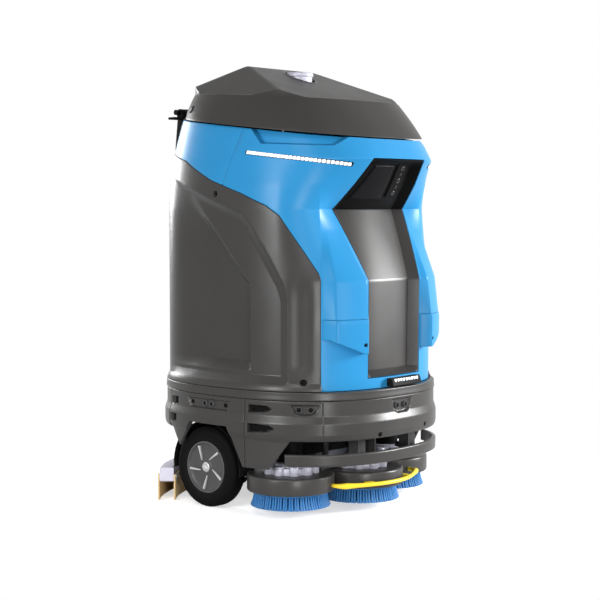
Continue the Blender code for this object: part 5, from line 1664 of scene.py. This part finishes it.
@dataclass
class Squeegee:
    """Curved suction squeegee on its lifting arm."""

    arc: float = 0.424
    half_turn: float = 42.0
    half: float = 0.018
    blade: float = 0.004
    seat: float = 0.0003
    clamp: float = 0.0022
    middle_y: float = 0.312
    top: float = 0.085

    def band(self, inner: float, outer: float, steps: int = 40, short: float = 0.0) -> list[Pair]:
        """Curved band outline at two distances from the squeegee's middle line."""
        centre_y = self.middle_y - self.arc
        turn = self.half_turn - short

        def run(offset: float, way: int) -> list[Pair]:
            """One long edge of the band."""
            reach = self.arc + offset
            angles = [math.radians(way * turn * (2.0 * i / steps - 1.0)) for i in range(steps + 1)]
            return [(reach * math.sin(a), centre_y + reach * math.cos(a)) for a in angles]

        return run(outer, 1) + run(inner, -1)

    def build(self) -> None:
        """Builds holder, blades and clamp strips."""
        low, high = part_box("squeegee_holder")
        top = self.top
        holder = Shape()
        holder.slab(self.band(-self.half, self.half), low.z, top, 0.004)
        holder.lathe([(0.012, top - 0.004), (0.016, top - 0.004), (0.016, high.z - 0.010),
                      (0.0172, high.z - 0.008), (0.0172, high.z - 0.003), (0.016, high.z), (0.012, high.z)],
                     (0, self.middle_y, 0), sides=40)
        holder.piece("squeegee_holder", "squeegee", PALE, ["squeegee_holder"])
        for side, sign in (("front", -1), ("rear", 1)):
            name = f"squeegee_blade_{side}"
            low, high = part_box(name)
            inside = self.half + self.seat
            outside = self.half + self.blade
            ends = sorted((sign * inside, sign * (inside + self.blade)))
            strip = Shape()
            strip.slab(self.band(*ends, steps=60), low.z, high.z, 0.0006)
            strip.piece(name, "squeegee", TAN, [name])
            clamp = Shape()
            ends = sorted((sign * outside, sign * (outside + self.clamp)))
            clamp.slab(self.band(*ends, steps=60, short=2.0), 0.050, 0.064, 0.0006)
            for i in range(7):
                turn = math.radians(-36.0 + 12.0 * i)
                way = Vector((math.sin(turn), math.cos(turn), 0)) * sign
                reach = self.arc + sign * (outside + self.clamp)
                along = self.middle_y - self.arc + reach * math.cos(turn)
                spot = Vector((reach * math.sin(turn), along, 0.057))
                clamp.screw(spot, way, 0.0040)
            clamp.piece(f"blade_clamp_{side}", "squeegee", STEEL)


@dataclass
class Rear:
    """Rear panel with its screen and stop button."""

    door: tuple[Pair, Pair] = ((150.0, 210.0), (0.350, 0.770))
    head: tuple[Pair, Pair] = ((165.0, 199.0), (0.785, 0.915))
    vent_span: Pair = (168.0, 192.0)
    vents: tuple[float, ...] = (0.40, 0.415, 0.43, 0.445, 0.46)
    vent: float = 0.006
    screen_span: Pair = (172.0, 192.0)

    def field(self, span: Pair, rows: Pair) -> tuple[Pair, ...]:
        """Outline of a square field between two angles and two heights."""
        return (span[0], rows[1]), (span[1], rows[1]), (span[1], rows[0]), (span[0], rows[0])

    def build(self) -> None:
        """Builds the rear panel and what is on it."""
        self.build_panel()
        self.build_screen()
        self.build_stop()

    def build_panel(self) -> None:
        """Builds the panel with its door, its head and its vents."""
        top = SKIN.top(180.0) - 0.004
        reliefs = [Pocket(self.field(*self.door), 0.0035, 0.003, both=False),
                   Pocket(self.field(*self.head), 0.001, 0.002, both=False)]
        reliefs += [Pocket(self.field(self.vent_span, (z, z + self.vent)), 0.003, 0.003, both=False)
                    for z in self.vents]
        panel = Panel("rear_panel", (SKIN.rear_edge, 360.0 - SKIN.rear_edge), level(SKIN.bottom), level(top),
                      wrapped_body, rows=spread(0.312, top - 0.004, 0.010), reliefs=reliefs, pitch=1.0,
                      roll=0.0015)
        panel.build().piece("rear_panel", "chassis", GREY, ["rear_panel"], 40.0)

    def build_screen(self) -> None:
        """Builds the touch screen."""
        low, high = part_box("touch_screen")
        glass = Panel("touch_screen", self.screen_span, level(low.z), level(high.z), wrapped_body,
                      rows=spread(low.z + 0.004, high.z - 0.004, 0.012), pitch=1.5, roll=0.003,
                      shape=lambda a, z: 0.010, wall=0.009)
        glass.build().piece("touch_screen", "chassis", GLASS, ["touch_screen"], 50.0)

    def build_stop(self) -> None:
        """Builds the stop button and the collar round it."""
        low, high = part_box("estop_button")
        centre, reach = middle("estop_button"), (high.x - low.x) / 2
        knob, ring = Shape(), Shape()
        knob.lathe([(0.0, low.y), (0.0102, low.y), (0.0102, high.y - 0.017), (0.018, high.y - 0.015),
                    (reach, high.y - 0.011), (reach - 0.0005, high.y - 0.007), (0.015, high.y - 0.0025),
                    (0.008, high.y - 0.0004), (0.0, high.y)], (centre.x, 0, centre.z), (0, 1, 0), 48)
        knob.piece("estop_button", "stop_button", RED, ["estop_button"], 40.0)
        ring.lathe([(0.012, -0.004), (0.024, -0.004), (0.024, 0.0006), (0.0228, 0.0014), (0.0126, 0.0014),
                    (0.012, 0.0008)], (centre.x, self.panel_y(centre.x, centre.z), centre.z), (0, 1, 0), 48)
        ring.piece("stop_collar", "chassis", YELLOW)

    def panel_y(self, x: float, z: float) -> float:
        """Where the rear panel stands behind a place."""
        points = [wrapped_body(a, z, 0.0) for a in spread(*self.door[0], 0.5)]
        return min((abs(point.x - x), point.y) for point in points)[1]


class Carried:
    """CAD nodes that show as they are, with real finishes."""

    looks = {"chassis_plate": FRAME, "deck_frame": FRAME, "squeegee_arm": FRAME, "clean_water_tank": TANK,
             "recovery_tank": TANK, "controller_box": BLACK, "water_pump": BLACK, "vacuum_motor": BLACK,
             "battery_pack": BATTERY, "drive_motor_right": GEARBOX, "drive_motor_left": GEARBOX,
             "caster_fork_front": STEEL, "caster_fork_rear": STEEL, "caster_wheel_front": RUBBER,
             "caster_wheel_rear": RUBBER}

    def build(self) -> None:
        """Gives each carried node its material and a small bevel."""
        for name, finish in self.looks.items():
            node = frame["nodes"][name]
            node.data.materials.clear()
            node.data.materials.append(finish.material())
            weld = node.modifiers.new("weld", "WELD")
            weld.merge_threshold = 0.00001
            bevel = node.modifiers.new("soft_edges", "BEVEL")
            bevel.width, bevel.segments, bevel.limit_method = 0.0008, 2, "ANGLE"
            bevel.angle_limit = math.radians(40.0)
            LOG.info("%s keeps its CAD shape", name)


@dataclass
class Studio:
    """Camera, floor, soft lamps and a white surround."""

    eye: tuple[float, float, float] = (-2.913, -2.532, 0.75)
    target: tuple[float, float, float] = (0.0, 0.0, 0.506)
    lens: float = 90.0
    ambient: float = 0.22
    lamps: tuple[tuple[str, tuple[float, float, float], float, float], ...] = (
        ("key_softbox", (-0.60, -3.6, 1.0), 1.2, 22.0),
        ("left_softbox", (-3.4, -0.1, 1.1), 1.1, 64.0),
        ("right_softbox", (2.4, -2.4, 1.2), 1.2, 205.0),
        ("rim_softbox", (0.3, 3.6, 1.3), 1.3, 85.0),
        ("high_softbox", (-2.6, -1.4, 2.4), 1.1, 24.0),
        ("low_softbox", (-2.0, -3.0, 0.30), 0.8, 40.0))
    floor_clear: Pair = (0.55, 1.15)
    floor_lift: float = 0.55

    def build(self) -> None:
        """Builds camera, lamps, floor and world."""
        view = bpy.data.cameras.new("camera")
        view.lens, view.sensor_width, view.clip_end = self.lens, 36.0, 60.0
        camera = in_scene("camera", view)
        aim(camera, self.eye, self.target)
        bpy.context.scene.camera = camera
        for name, place, size, power in self.lamps:
            light = bpy.data.lights.new(name, "AREA")
            light.shape, light.size, light.energy = "DISK", size, power
            aim(in_scene(name, light), place, (0, 0, 0.5))
        self.build_floor()
        self.build_world()
        bpy.context.scene.view_settings.view_transform = "Standard"

    def build_floor(self) -> None:
        """Builds the pale floor, which keeps the object's shadow."""
        part = bmesh.new()
        bmesh.ops.create_circle(part, cap_ends=True, radius=14.0, segments=64)
        mesh = bpy.data.meshes.new("floor")
        part.to_mesh(mesh)
        part.free()
        floor = in_scene("floor", mesh)
        made = bpy.data.materials.new("floor_paper")
        made.use_nodes = True
        tree = Tree(made.node_tree)
        shader = made.node_tree.nodes["Principled BSDF"]
        shader.inputs["Roughness"].default_value = 0.9
        tree.link(tree.blend(tree.noise(3.0), (0.88, 0.88, 0.88), (0.92, 0.92, 0.92)),
                  shader.inputs["Base Color"])
        away = tree.add("VectorMath", operation="LENGTH")
        tree.link(tree.add("TexCoord").outputs["Object"], away.inputs[0])
        clear = tree.add("MapRange", interpolation_type="SMOOTHSTEP", From_Min=self.floor_clear[0],
                         From_Max=self.floor_clear[1], To_Min=1.0, To_Max=0.0)
        tree.link(away.outputs["Value"], clear.inputs["Value"])
        tree.link(clear.outputs[0], shader.inputs["Alpha"])
        shader.inputs["Emission Color"].default_value = (1.0, 1.0, 1.0, 1.0)
        tree.link(tree.sum("MULTIPLY", tree.add("LightPath").outputs["Is Camera Ray"], self.floor_lift),
                  shader.inputs["Emission Strength"])
        mesh.materials.append(made)

    def build_world(self) -> None:
        """White behind the object and in its reflections, a plain level as light."""
        world = bpy.data.worlds.new("surround")
        bpy.context.scene.world = world
        world.use_nodes = True
        tree = Tree(world.node_tree)
        shade = world.node_tree.nodes["Background"]
        path = tree.add("LightPath")
        seen = tree.sum("MAXIMUM", path.outputs["Is Camera Ray"], path.outputs["Is Transmission Ray"])
        seen = tree.sum("MAXIMUM", seen, path.outputs["Is Glossy Ray"])
        reach = tree.sum("MAXIMUM", seen, self.ambient)
        shade.inputs["Color"].default_value = (1.0, 1.0, 1.0, 1.0)
        tree.link(reach, shade.inputs["Strength"])


def main() -> None:
    """Builds every sub-assembly."""
    logging.basicConfig(level=logging.INFO, format="%(message)s")
    for part in (Studio(), SideCovers(), FrontBody(), Lights(), Lid(), Skirt(), DriveWheels(), Underbody(),
                 BrushDeck(), Squeegee(), Rear(), Carried()):
        LOG.info("building %s", type(part).__name__)
        part.build()


if __name__ == "__main__":
    main()
